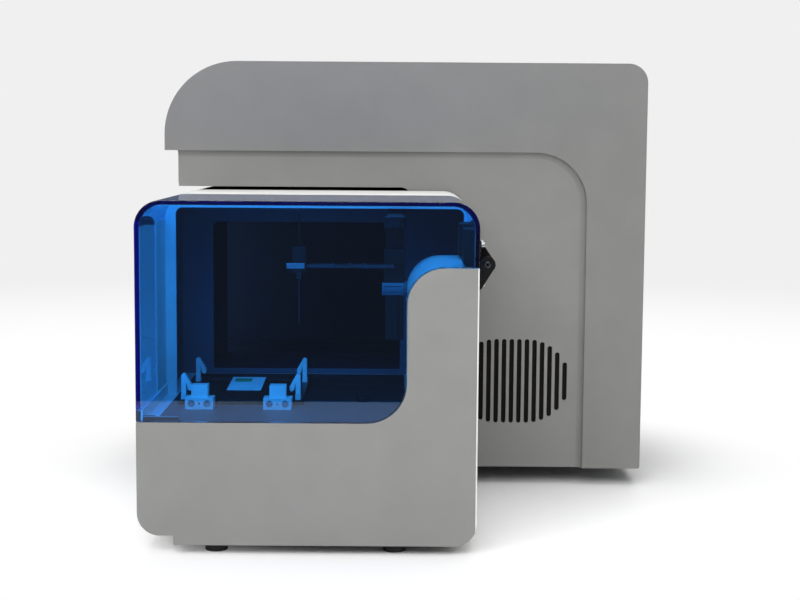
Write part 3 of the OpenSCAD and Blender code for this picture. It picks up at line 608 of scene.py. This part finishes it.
class ScrewMaker:
    """Repeats one screw head over a row's seats with geometry nodes."""

    FINISH = STEEL
    SIDES = 24
    SHARP = 40
    # From the socket's floor outwards: share of the head's radius, and share of its height.
    PROFILE = ((0.45, 0.45), (0.5, 1.0), (0.86, 1.0), (1.0, 0.7), (1.0, 0.0))

    def __init__(self, palette: Palette) -> None:
        """Keeps the palette and makes the node group that all rows share."""
        self.palette = palette
        self.row_group = self.group()

    def head(self, row: ScrewRow) -> Shape:
        """One domed head with a socket, standing on the origin and facing +Z.

        Args:
            row: the row with the head's size.

        Returns:
            The head in metres.
        """
        shape = bmesh.new()
        rings = []
        turns = [2 * math.pi * i / self.SIDES for i in range(self.SIDES)]
        for across, up in self.PROFILE:
            radius, height = across * row.radius * MM, up * row.height * MM
            rings.append([shape.verts.new((radius * math.cos(turn), radius * math.sin(turn), height))
                          for turn in turns])
        lathe(shape, rings)
        shape.faces.new(rings[0])
        shape.faces.new(rings[-1])
        return shape

    @staticmethod
    def group() -> bpy.types.GeometryNodeTree:
        """Node group that puts a head on every seat, turned and in its material.

        Returns:
            The group, with its inputs named.
        """
        tree = bpy.data.node_groups.new("screw_row", "GeometryNodeTree")
        for name, kind in (("Seats", "Geometry"), ("Head", "Object"), ("Turn", "Vector"),
                           ("Material", "Material")):
            tree.interface.new_socket(name, in_out="INPUT", socket_type="NodeSocket" + kind)
        tree.interface.new_socket("Screws", in_out="OUTPUT", socket_type="NodeSocketGeometry")
        start = add(tree, "NodeGroupInput")
        info = add(tree, "GeometryNodeObjectInfo")
        points = add(tree, "GeometryNodeInstanceOnPoints")
        real = add(tree, "GeometryNodeRealizeInstances")
        paint = add(tree, "GeometryNodeSetMaterial")
        end = add(tree, "NodeGroupOutput")
        wire(tree, (start, "Seats", points, "Points"), (start, "Head", info, "Object"),
             (info, "Geometry", points, "Instance"), (start, "Turn", points, "Rotation"),
             (points, 0, real, 0), (real, 0, paint, "Geometry"), (start, "Material", paint, "Material"),
             (paint, 0, end, 0))
        return tree

    def make(self, row: ScrewRow) -> Item:
        """Builds one row of screws as a plain mesh riding on its body.

        Args:
            row: the set of screws.

        Returns:
            The object with all of them.
        """
        shape = self.head(row)
        bmesh.ops.recalc_face_normals(shape, faces=shape.faces)
        item = show("head", meshed("head", shape))
        seats = bpy.data.meshes.new(row.name)
        seats.from_pydata([Vector(p) * MM for p in row.heads], [], [])
        piece = show(row.name, seats)
        modifier = piece.modifiers.new("row", "NODES")
        modifier.node_group = self.row_group
        turn = Vector((0, 0, 1)).rotation_difference(Vector(row.axis)).to_euler()
        values = {"Head": item, "Turn": tuple(turn), "Material": self.palette.get(self.FINISH)}
        for socket in self.row_group.interface.items_tree:
            if socket.name in values and socket.in_out == "INPUT":
                modifier[socket.identifier] = values[socket.name]
        piece.update_tag()
        bpy.context.view_layer.update()
        Builder.bake(piece)
        bpy.data.objects.remove(item)
        piece.data.shade_smooth()
        piece.data.set_sharp_from_angle(angle=math.radians(self.SHARP))
        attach(piece, row.body)
        LOG.info("screws %s: %d", row.name, len(row.heads))
        return piece


@dataclass
class SubAssembly:
    """What the sub-assemblies share.

    Args:
        builder: makes its pieces.
        screws: makes its screws.
    """

    builder: Builder
    screws: ScrewMaker

    def dress(self, finish: Finish, edge: float, *nodes: str, strips: int = STRIPS) -> List[Item]:
        """Dresses CAD nodes that have the same finish and edges.

        Args:
            finish: their surface finish.
            edge: radius of their rounded edges.
            nodes: the CAD nodes.
            strips: strips to a rounded edge.

        Returns:
            The dressed copies, in the nodes' order.
        """
        return [self.builder.dress(node, finish, edge, strips) for node in nodes]


@dataclass
class Cabinet(SubAssembly):
    """Main cabinet: grey shell, open bay, exhaust and rear connections.

    Args:
        cover_edge: radius of the cover's edges.
        panel_edge: radius of the side panels' edges.
        nose_edge: radius of the nose's edges.
        sheet_edge: radius of the edges of folded sheet and of the port.
        foot_edge: radius of the feet's edges.
        fan_edge: radius of the fan frame's edges.
        blade_edge: radius of the fan blades' edges.
        insert_edge: radius of the edges of the foam behind the vent and of what sits at the rear.
        socket_edge: radius of the data ports' edges.
        pan_screws: screws under the bottom pan.
        fan_screws: screws of the fan's frame.
        connector_screws: screws round the connector panel.
    """

    cover_edge: float = 1.6
    panel_edge: float = 0.6
    nose_edge: float = 0.5
    sheet_edge: float = 0.4
    foot_edge: float = 2.0
    fan_edge: float = 0.6
    blade_edge: float = 0.2
    insert_edge: float = 0.3
    socket_edge: float = 0.15
    pan_screws: ScrewRow = ScrewRow("pan_screws", grid((-260, 0, 260), (-12, 360), (22.6,)), DOWN, 3.0, 1.2)
    fan_screws: ScrewRow = ScrewRow("fan_screws", grid((89.1, 193.1), (0,), (85, 189)), FAR_SIDE, 3.4, 1.6)
    connector_screws: ScrewRow = ScrewRow("connector_screws", grid((307,), (48, 175, 296), (64, 176)),
                                          BACK, 2.6, 1.2)

    def build(self) -> None:
        """Builds the cabinet."""
        self.shell()
        self.bay()
        self.exhaust()
        self.connections()

    def shell(self) -> None:
        """Cover, side panels, nose, bottom pan and feet."""
        self.dress(COVER, self.cover_edge, "cabinet_cover", strips=FINE_STRIPS)
        self.dress(SIDE, self.panel_edge, "docking_side_panel", "far_side_panel")
        self.dress(SIDE, self.nose_edge, "nose_fascia")
        self.dress(PAN, self.sheet_edge, "base_pan")
        self.dress(RUBBER, self.foot_edge, "cabinet_feet", strips=FINE_STRIPS)
        self.screws.make(self.pan_screws)

    def bay(self) -> None:
        """Lining of the bay, near black with a blue cast as painted shade, and the port in it."""
        self.dress(BAY_SHADE, self.sheet_edge, "bay_liner")
        self.dress(STEEL, self.sheet_edge, "sample_port")

    def exhaust(self) -> None:
        """Near-black foam behind the vent's slots, which paints the shade inside the vent, and the fan."""
        self.dress(VENT_SHADE_FOAM, self.insert_edge, "vent_filter")
        self.dress(FAN, self.fan_edge, "fan_frame")
        self.dress(FAN, self.blade_edge, "fan_rotor")
        self.screws.make(self.fan_screws)

    def connections(self) -> None:
        """Rear panel with the mains inlet, the rocker and the data ports."""
        self.dress(DARK_SHEET, self.insert_edge, "connector_panel")
        self.dress(BLACK, self.insert_edge, "power_inlet", "power_rocker")
        self.dress(STEEL, self.socket_edge, "data_ports")
        self.screws.make(self.connector_screws)


@dataclass
class Sampler(SubAssembly):
    """Housing of the plate sampler, with its floor and the duct into the cabinet's bay, whose dark walls are
    painted shade.

    Args:
        front_edge: radius of the front panel's edges.
        casing_edge: radius of the white housing's and the duct's edges.
        sheet_edge: radius of the edges of folded sheet.
        foot_edge: radius of the feet's edges.
        cup_edge: radius of the wash cup's edges.
        inside_shade: painted shade, a dark grey on the inward faces of the light grey casing behind its
            flange.
        casing_screws: screws at the casing's back.
        dark_edge_gap: distance between the rim's painted dark edge and the hood's front wall, also to the
            base's side.
        dark_edge_end: where the painted dark edge's front ends, from the same wall.
        dark_edge_inset: how far the painted dark edge stays inside the rim's height.
        curtain_wall: distance between the curtain and the duct's walls.
        curtain_corner: the same at the duct's rounded corner.
        curtain_depth: how far the curtain hangs inside the duct's mouth.
        fingers: number of the curtain's rubber fingers.
        finger_width: width of a finger.
        finger_lap: how far a finger covers the next.
        finger_thickness: thickness of a finger.
        finger_edge: radius of its edges.
    """

    front_edge: float = 0.5
    casing_edge: float = 0.8
    sheet_edge: float = 0.4
    foot_edge: float = 1.2
    cup_edge: float = 0.5
    inside_shade: Patch = Patch("sampler_casing", CASING_INSIDE_SHADE, ((2.9, 71.5, 0.0), (2.9, 0.1, 2.9)), True)
    casing_screws: ScrewRow = ScrewRow("casing_screws", grid((20, 62), (-33,), (170, 330)), FAR_SIDE,
                                       3.0, 1.4)
    dark_edge_gap: float = 0.1
    dark_edge_end: float = 0.3
    dark_edge_inset: float = 0.2
    curtain_wall: float = 3.2
    curtain_corner: float = 22.0
    curtain_depth: float = 3.0
    fingers: int = 3
    finger_width: float = 15.0
    finger_lap: float = 1.5
    finger_thickness: float = 1.0
    finger_edge: float = 0.2

    def build(self) -> None:
        """Builds the sampler's housing."""
        self.housing()
        self.inside()
        self.underside()
        self.rim_seal()
        self.light_curtain()

    def housing(self) -> None:
        """Grey front panel, white base, column and casing, and the duct."""
        self.dress(FRONT, self.front_edge, "front_panel", strips=FINE_STRIPS)
        self.dress(CASING, self.casing_edge, "sampler_base", "sampler_column")
        casing = self.dress(CASING, self.casing_edge, "sampler_casing")[0]
        # Paints shade on the casing's inward faces behind the flange.
        self.builder.patch(casing, self.inside_shade)
        self.screws.make(self.casing_screws)
        # The duct's walls are painted shade.
        self.dress(BAY_SHADE, self.casing_edge, "docking_neck")

    def inside(self) -> None:
        """Floor plates and the wash cup."""
        self.dress(FLOOR, self.sheet_edge, "chamber_floor")
        self.dress(DARK_SHEET, self.sheet_edge, "rear_tray")
        self.dress(BLACK, self.cup_edge, "wash_cup")

    def underside(self) -> None:
        """Bottom pan, feet and the brackets to the cabinet."""
        self.dress(PAN, self.sheet_edge, "sampler_pan", "dock_brackets")
        self.dress(RUBBER, self.foot_edge, "sampler_feet", strips=FINE_STRIPS)

    def rim_seal(self) -> None:
        """Thin dark strip on the front end of the base's rim, in line with the hood's left wall: painted
        shade for that wall's dark edge seen end-on.
        """
        low, high = millimetres(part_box("sampler_base"))
        hood = millimetres(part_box("hood"))[0]
        wall = hood.y + HOOD_WALL
        # Painted shade: the hood wall's dark edge carried down over the rim.
        dark_strip = brick((low.x + self.dark_edge_gap, wall + self.dark_edge_gap, hood.z + self.dark_edge_inset),
                     (low.x + HOOD_WALL, wall + self.dark_edge_end, high.z - self.dark_edge_inset))
        self.builder.place("rim_seal", dark_strip, RUBBER, "instrument")

    def light_curtain(self) -> None:
        """Black rubber fingers at the left of the duct's mouth, a dark piece that paints the shade at the
        duct's far end.
        """
        low, high = millimetres(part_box("docking_neck"))
        made = []
        # Painted shade: dark fingers across the sight line into the duct's far end.
        for i in range(self.fingers):
            left = low.x + self.curtain_wall + i * (self.finger_width - self.finger_lap)
            back = high.y - self.curtain_depth - (i % 2) * self.finger_thickness
            margin = self.curtain_wall if i > 0 else self.curtain_corner
            made.append(brick((left, back - self.finger_thickness, low.z + margin),
                              (left + self.finger_width, back, high.z - margin)))
        self.builder.place("light_curtain", joined(made), RUBBER, "instrument", self.finger_edge)


@dataclass
class Hood(SubAssembly):
    """Clear blue hood with its hinges and its catch.

    Args:
        hood_edge: radius of the hood's edges.
        leaf_edge: radius of the hinge leaves' edges.
        pin_edge: radius of the pins' edges.
        backing_edge: radius of the backing plate's edges.
        keeper_edge: radius of the catch's edges.
        cut_shade: painted shade, dark blue on the cut edge of the front wall along the S line, where the
            clear acrylic looks dark edge-on.
        hood_screws: screws in the leaves on the hood.
        column_screws: screws in the leaves on the column.
        socket: the cap's hexagon socket: radius of its corners, and its places along Y from the pin's end.
        rim: the cap's round outside: radius and place along Y from the pin's end.
        steps: points on each side of the socket.
    """

    hood_edge: float = 0.8
    leaf_edge: float = 0.5
    pin_edge: float = 0.2
    backing_edge: float = 0.8
    keeper_edge: float = 0.3
    cut_shade: Patch = Patch("hood", CUT_EDGE_SHADE, ((7.0, 0.9, -1.0), (-1.0, 187.8, 7.0)), False)
    hood_screws: ScrewRow = ScrewRow("hood_leaf_screws", grid((80.5,), (-366, -332, -252, -218), (338.7,)),
                                     BACK, 3.2, 4.2, "hood")
    column_screws: ScrewRow = ScrewRow("column_leaf_screws",
                                       grid((80.5,), (-355, -343, -241, -229), (295.6,)), BACK, 3.0, 4.8)
    socket: Tuple[Pair, ...] = ((1.5, 0.2), (1.5, -0.9))
    rim: Tuple[Pair, ...] = ((3.0, -0.9), (3.5, -0.4), (3.5, 0.2))
    steps: int = 6

    def build(self) -> None:
        """Builds the hood."""
        hood = self.dress(ACRYLIC, self.hood_edge, "hood", strips=FINE_STRIPS)[0]
        # Paints the front wall's cut edge dark.
        self.builder.patch(hood, self.cut_shade)
        self.hinges()
        self.dress(STEEL, self.keeper_edge, "hood_keeper")
        self.dress(PAN, self.keeper_edge, "catch_magnet")

    def hinges(self) -> None:
        """Leaves, pins, backing plate and screws of the two hinges, and the cap on the pin's end."""
        self.dress(HINGE, self.leaf_edge, "hood_leaves", "column_leaves")
        self.dress(HINGE, self.pin_edge, "hinge_pins")
        self.dress(BLACK, self.backing_edge, "hinge_backing")
        self.screws.make(self.hood_screws)
        self.screws.make(self.column_screws)
        self.pin_cap()

    @staticmethod
    def hexagon(angle: float) -> float:
        """How far a hexagon with corners at 1 reaches at an angle."""
        half = math.pi / HEXAGON
        return math.cos(half) / math.cos(angle % (2 * half) - half)

    def pin_cap(self) -> None:
        """Ring with a hexagon socket on the front end of the hinge's pin, in a lighter grey that paints the
        barrel end's highlight.
        """
        low, high = millimetres(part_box("hinge_pins"))
        centre = (low + high) / 2
        points = HEXAGON * self.steps
        turns = [2 * math.pi * i / points for i in range(points)]
        shape = bmesh.new()
        rings = []
        for profile, outline in ((self.socket, self.hexagon), (self.rim, lambda turn: 1.0)):
            for radius, shift in profile:
                spokes = [(radius * outline(turn), turn) for turn in turns]
                rings.append([shape.verts.new(Vector((centre.x + reach * math.cos(turn), low.y + shift,
                                                      centre.z + reach * math.sin(turn))) * MM)
                              for reach, turn in spokes])
        lathe(shape, rings + rings[:1])
        self.builder.place("pin_cap", shape, HINGE_RING_HIGHLIGHT, "instrument")


@dataclass
class Nest(SubAssembly):
    """Place of the microplate: deck, stops, spring clips and the card.

    Args:
        block_edge: radius of the edges of the deck, the stops and the clips.
        small_edge: radius of the edges of screws, brackets and card.
        card_sheet: thickness of the card.
        band_across: where the card's band starts and ends, as shares of the card's width.
        band_along: the same along the card's slope.
        band_lift: the band's underside and top over the card.
    """

    block_edge: float = 0.5
    small_edge: float = 0.2
    card_sheet: float = 0.6
    band_across: Pair = (0.12, 0.62)
    band_along: Pair = (0.62, 0.84)
    band_lift: Pair = (0.02, 0.12)

    def build(self) -> None:
        """Builds the nest."""
        self.dress(ANODISED, self.block_edge, "nest_plate")
        self.dress(WHITE, self.block_edge, "left_stop", "right_stop", "clip_front_left", "clip_front_right",
                   "clip_rear_left", "clip_rear_right")
        self.dress(STEEL, self.small_edge, "stop_screws")
        self.dress(WHITE, self.small_edge, "clip_brackets")
        self.dress(CARD, self.small_edge, "plate_card")
        self.card_band()

    def card_band(self) -> None:
        """Plain green band on the sloping card, which is otherwise bare."""
        low, high = millimetres(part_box("plate_card"))
        size = high - low
        start = low + Vector((0, 0, self.card_sheet))
        shape = bmesh.new()
        verts = []
        for lift in self.band_lift:
            for across, along in ((0, 0), (1, 0), (1, 1), (0, 1)):
                x, y = self.band_across[across] * size.x, self.band_along[along] * size.y
                verts.append(shape.verts.new((start + Vector((x, y, y * size.z / size.y + lift))) * MM))
        for ring in ((0, 1, 2, 3), (4, 5, 6, 7), (0, 1, 5, 4), (1, 2, 6, 5), (2, 3, 7, 6), (3, 0, 4, 7)):
            shape.faces.new([verts[i] for i in ring])
        self.builder.place("card_band", shape, GREEN, "instrument")


@dataclass
class NeedleArm(SubAssembly):
    """Needle's arm: rail, saddle, mast, lift, the two beams, and the carriage with the needle.

    Args:
        rail_edge: radius of the edges of rail, saddle, mast and carriage.
        block_edge: radius of the lift block's edges.
        beam_edge: radius of the beams' edges.
        needle_edge: radius of the needle's edges.
        rail_screws: screws of the rail, sunk to its face.
        cap: low and high corner of the front beam's end cap, from the beam's low corner.
        cap_edge: radius of the cap's edges.
        slider_reach: how far the carriage's slider plate reaches past the beam's end.
        slider_setback: how far it stays behind the carriage's far end.
        slider_front: how far it stands in front of the carriage.
        slider_gap: distance between its back and the carriage's front.
        slider_lip: how far it stands over and under the beam.
        slider_edge: radius of its edges.
    """

    rail_edge: float = 0.4
    block_edge: float = 0.6
    beam_edge: float = 0.3
    needle_edge: float = 0.1
    rail_screws: ScrewRow = ScrewRow("rail_screws", grid((-13,), (-262, -70), (352,)), DOWN, 2.2, 0.01)
    cap: Tuple[Point, Point] = ((-0.1, -0.3, -0.3), (4.0, 7.2, 4.3))
    cap_edge: float = 0.4
    slider_reach: float = 2.0
    slider_setback: float = 1.5
    slider_front: float = 0.7
    slider_gap: float = 0.05
    slider_lip: float = 0.4
    slider_edge: float = 0.2

    def build(self) -> None:
        """Builds the arm."""
        self.dress(ANODISED, self.rail_edge, "gantry_rail", "gantry_saddle", "lift_mast")
        self.screws.make(self.rail_screws)
        self.dress(ANODISED, self.block_edge, "lift_block")
        self.dress(ANODISED, self.beam_edge, "rear_beam")
        self.dress(BEAM, self.beam_edge, "front_beam")
        self.dress(BLACK, self.rail_edge, "probe_carriage")
        self.dress(TUBE, self.needle_edge, "needle")
        self.beam_cap()
        self.carriage_slider()

    def beam_cap(self) -> None:
        """Bright end cap on the front beam."""
        low = millimetres(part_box("front_beam"))[0]
        cap = brick(low + Vector(self.cap[0]), low + Vector(self.cap[1]))
        self.builder.place("beam_cap", cap, ALUMINIUM, "reach", self.cap_edge)

    def carriage_slider(self) -> None:
        """Bright slider plate on the front of the needle's carriage, level with the front beam."""
        low, high = millimetres(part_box("probe_carriage"))
        beam_low, beam_high = millimetres(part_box("front_beam"))
        front, back = low.y - self.slider_front, low.y - self.slider_gap
        plate = brick((beam_low.x - self.slider_reach, front, beam_low.z - self.slider_lip),
                      (high.x - self.slider_setback, back, beam_high.z + self.slider_lip))
        self.builder.place("carriage_slider", plate, ALUMINIUM, "probe", self.slider_edge)


@dataclass
class Pump(SubAssembly):
    """Small roller pump on the column's wall.

    Args:
        mount_edge: radius of the mount's edges.
        rotor_edge: radius of the rotor's edges.
        ribs: number of the sleeve's ribs.
        rib_radius: radius of a rib.
        rib_depth: how far the ribs' middles lie under the rotor's outside.
        rib_end: how far the ribs stay short of the rotor's ends.
        rib_sides: flat sides of a rib.
    """

    mount_edge: float = 0.4
    rotor_edge: float = 0.2
    ribs: int = 18
    rib_radius: float = 0.7
    rib_depth: float = 0.9
    rib_end: float = 2.4
    rib_sides: int = 10

    def build(self) -> None:
        """Builds the pump."""
        self.dress(PAN, self.mount_edge, "pump_mount")
        self.dress(PUMP, self.rotor_edge, "pump_rotor")
        self.sleeve()

    def sleeve(self) -> None:
        """Ridged sleeve over the pump's rollers."""
        low, high = millimetres(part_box("pump_rotor"))
        middle = (low + high) / 2
        reach = (high.z - low.z) / 2 - self.rib_depth
        made = []
        for i in range(self.ribs):
            turn = 2 * math.pi * i / self.ribs
            y, z = middle.y + reach * math.cos(turn), middle.z + reach * math.sin(turn)
            made.append(rod((low.x + self.rib_end, y, z), (high.x - self.rib_end, y, z), self.rib_radius,
                            self.rib_sides))
        self.builder.place("pump_ribs", joined(made), PUMP, "pump")


@dataclass(frozen=True)
class Softbox:
    """An area light of the studio. Its places and sizes are in metres.

    Args:
        name: plain name.
        at: its place.
        aim: the point it faces.
        size: width and height.
        watts: its power.
        mirrored: whether glossy surfaces show it. A bounce acts for the floor, which they show already.
    """

    name: str
    at: Point
    aim: Point
    size: Pair
    watts: float
    mirrored: bool = True


SOFTBOXES: Tuple[Softbox, ...] = (
    Softbox("key", (-0.6, -2.2, 1.7), (-0.1, -0.3, 0.25), (2.2, 1.4), 54.0),
    Softbox("rear", (0.4, 2.6, 1.7), (0.0, 0.3, 0.3), (2.2, 1.4), 20.0),
    Softbox("right_low", (2.4, -1.8, 0.6), (0.1, 0.0, 0.1), (1.8, 1.1), 3.0),
    Softbox("left_low", (-2.4, -1.8, 0.6), (-0.1, 0.0, 0.1), (1.8, 1.1), 2.5),
    Softbox("top", (0.0, 0.1, 2.6), (0.0, 0.0, 0.3), (2.6, 2.6), 42.0),
    Softbox("bounce", (0.0, -1.05, 0.01), (0.0, -0.75, 1.0), (2.0, 0.6), 9.0, False),
    Softbox("bounce_right", (0.5, -0.62, 0.01), (0.45, -0.3, 1.0), (0.7, 0.4), 1.8, False),
)


@dataclass(frozen=True)
class Studio:
    """Camera, lights, floor and backdrop.

    Args:
        eye: the camera's place.
        focal: focal length in pixels of the photograph.
        width: the photograph's width in pixels.
        sensor: the width of Blender's sensor.
        horizon: how far the horizon lies over the picture's middle, in pixels.
        sideways: how far the line of sight lies beside the part's own depth line, in pixels.
        roll: the camera's roll in radians.
        clip: nearest and farthest distance that the camera sees, in metres.
        fade: distance from the part between which the paper turns into pure white, in metres.
        distance: distance between which that white turns into the backdrop's tone, in metres.
        paper_edges: left, right, front and back edge of the floor, in metres.
        apron: front edge of the apron before it, in metres.
        paper_colour: sRGB colour of the floor's paper.
        paper_roughness: its roughness.
        paper_gloss: the level of its plain reflection.
        ambient: strength of the even light from all round.
        backdrop: tone of the backdrop to the eye.
        mirror: strength of the room in mirror images.
        room: its tint.
    """

    eye: Point = (-12.6, -2021.3, 451.5)
    focal: float = 1530.0
    width: float = 800.0
    sensor: float = 36.0
    horizon: float = 160.0
    sideways: float = 5.0
    roll: float = 0.0070
    clip: Pair = (0.05, 50.0)
    fade: Pair = (0.36, 0.62)
    distance: Pair = (1.4, 3.2)
    paper_edges: Tuple[float, float, float, float] = (-6.0, 6.0, -1.37, 6.0)
    apron: float = -6.0
    paper_colour: str = "#fbfbfb"
    paper_roughness: float = 0.8
    paper_gloss: float = 0.2
    ambient: float = 0.25
    backdrop: float = 0.87
    mirror: float = 0.17
    room: Color = (0.66, 0.76, 1.0, 1.0)

    def build(self) -> None:
        """Sets the whole studio up."""
        self.camera()
        self.world()
        self.floor()
        for box in SOFTBOXES:
            self.softbox(box)
        bpy.context.scene.view_settings.view_transform = "Standard"

    def camera(self) -> None:
        """Places the camera of the photograph."""
        data = bpy.data.cameras.new("camera")
        data.sensor_width = self.sensor
        data.lens = self.focal / self.width * self.sensor
        data.clip_start, data.clip_end = self.clip
        camera = show("camera", data)
        pitch, yaw = math.atan(self.horizon / self.focal), -math.atan(self.sideways / self.focal)
        camera.matrix_world = (Matrix.Translation(Vector(self.eye) * MM) @ Matrix.Rotation(yaw, 4, "Z")
                               @ Matrix.Rotation(math.pi / 2 - pitch, 4, "X")
                               @ Matrix.Rotation(self.roll, 4, "Z"))
        bpy.context.scene.camera = camera

    def world(self) -> None:
        """Pale surroundings to the eye, and a dim room, like the one behind a camera, in mirror images."""
        world = bpy.data.worlds.new("studio")
        bpy.context.scene.world = world
        world.use_nodes = True
        tree = world.node_tree
        lit = tree.nodes["Background"]
        fill(lit, {"Color": WHITE_LIGHT, "Strength": self.ambient})
        seen = add(tree, "ShaderNodeBackground", {"Color": WHITE_LIGHT, "Strength": self.backdrop})
        mirrored = add(tree, "ShaderNodeBackground", {"Color": self.room, "Strength": self.mirror})
        rays = add(tree, "ShaderNodeLightPath")
        looks = add(tree, "ShaderNodeMath", operation="MAXIMUM")
        first = add(tree, "ShaderNodeMixShader")
        second = add(tree, "ShaderNodeMixShader")
        wire(tree, (rays, "Is Camera Ray", looks, 0), (rays, "Is Transmission Ray", looks, 1),
             (looks, 0, first, "Fac"), (lit, 0, first, 1), (seen, 0, first, 2),
             (rays, "Is Glossy Ray", second, "Fac"), (first, 0, second, 1), (mirrored, 0, second, 2),
             (second, 0, tree.nodes["World Output"], "Surface"))

    def floor(self) -> None:
        """Plain pale floor, and in front of it an apron that lights nothing and isn't mirrored."""
        material = self.paper()
        left, right, front, _ = self.paper_edges
        self.sheet("floor", self.paper_edges, material)
        apron = self.sheet("apron", (left, right, self.apron, front), material)
        apron.visible_glossy = apron.visible_diffuse = apron.visible_transmission = False

    @staticmethod
    def sheet(name: str, edges: Tuple[float, float, float, float], material: Material) -> Item:
        """Lays one flat sheet on the ground.

        Args:
            name: plain name.
            edges: left, right, front and back edge in metres.
            material: its paper.

        Returns:
            The sheet's object.
        """
        left, right, front, back = edges
        shape = bmesh.new()
        around = ((left, front, 0), (right, front, 0), (right, back, 0), (left, back, 0))
        shape.faces.new([shape.verts.new(corner) for corner in around])
        mesh = meshed(name, shape)
        sheet = show(name, mesh)
        mesh.materials.append(material)
        return sheet

    def paper(self) -> Material:
        """White paper that fades, for what looks at it, into the bright backdrop away from the object.

        Returns:
            The paper's material.
        """
        material, tree, shader = coating("white_paper", {
            "Base Color": linear(self.paper_colour), "Roughness": self.paper_roughness,
            "Specular IOR Level": self.paper_gloss})
        bright = add(tree, "ShaderNodeEmission", {"Color": WHITE_LIGHT})
        place = add(tree, "ShaderNodeTexCoord")
        reach = add(tree, "ShaderNodeVectorMath", operation="LENGTH")
        fade = add(tree, "ShaderNodeMapRange", {"From Min": self.fade[0], "From Max": self.fade[1]},
                   interpolation_type="SMOOTHSTEP")
        far = add(tree, "ShaderNodeMapRange",
                  {"From Min": self.distance[0], "From Max": self.distance[1],
                   "To Min": 1.0, "To Max": self.backdrop}, interpolation_type="SMOOTHSTEP")
        rays = add(tree, "ShaderNodeLightPath")
        unlit = add(tree, "ShaderNodeMath", {0: 1.0}, operation="SUBTRACT")
        share = add(tree, "ShaderNodeMath", operation="MULTIPLY")
        mix = add(tree, "ShaderNodeMixShader")
        wire(tree, (place, "Object", reach, 0), (reach, "Value", fade, "Value"),
             (reach, "Value", far, "Value"), (far, "Result", bright, "Strength"),
             (rays, "Is Diffuse Ray", unlit, 1), (fade, "Result", share, 0), (unlit, 0, share, 1),
             (share, 0, mix, "Fac"), (shader, 0, mix, 1), (bright, 0, mix, 2),
             (mix, 0, tree.nodes["Material Output"], "Surface"))
        return material

    @staticmethod
    def softbox(box: Softbox) -> None:
        """Adds one area light.

        Args:
            box: the light.
        """
        data = bpy.data.lights.new(box.name, "AREA")
        data.shape = "RECTANGLE"
        data.size, data.size_y = box.size
        data.energy = box.watts
        lamp = show(box.name, data)
        lamp.location = box.at
        lamp.visible_camera = False
        lamp.visible_glossy = lamp.visible_transmission = box.mirrored
        lamp.rotation_euler = (Vector(box.aim) - Vector(box.at)).to_track_quat("-Z", "Y").to_euler()


def main() -> None:
    """Builds the sub-assemblies and the studio in order, and logs how many pieces there are after each."""
    logging.basicConfig(level=logging.INFO, format="%(name)s: %(message)s")
    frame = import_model()
    palette = Palette()
    builder = Builder(frame, palette)
    screws = ScrewMaker(palette)
    for kind in (Cabinet, Sampler, Hood, Nest, NeedleArm, Pump):
        kind(builder, screws).build()
        LOG.info("%s: %d pieces so far", kind.__name__, builder.count)
    Studio().build()


if __name__ == "__main__":
    main()
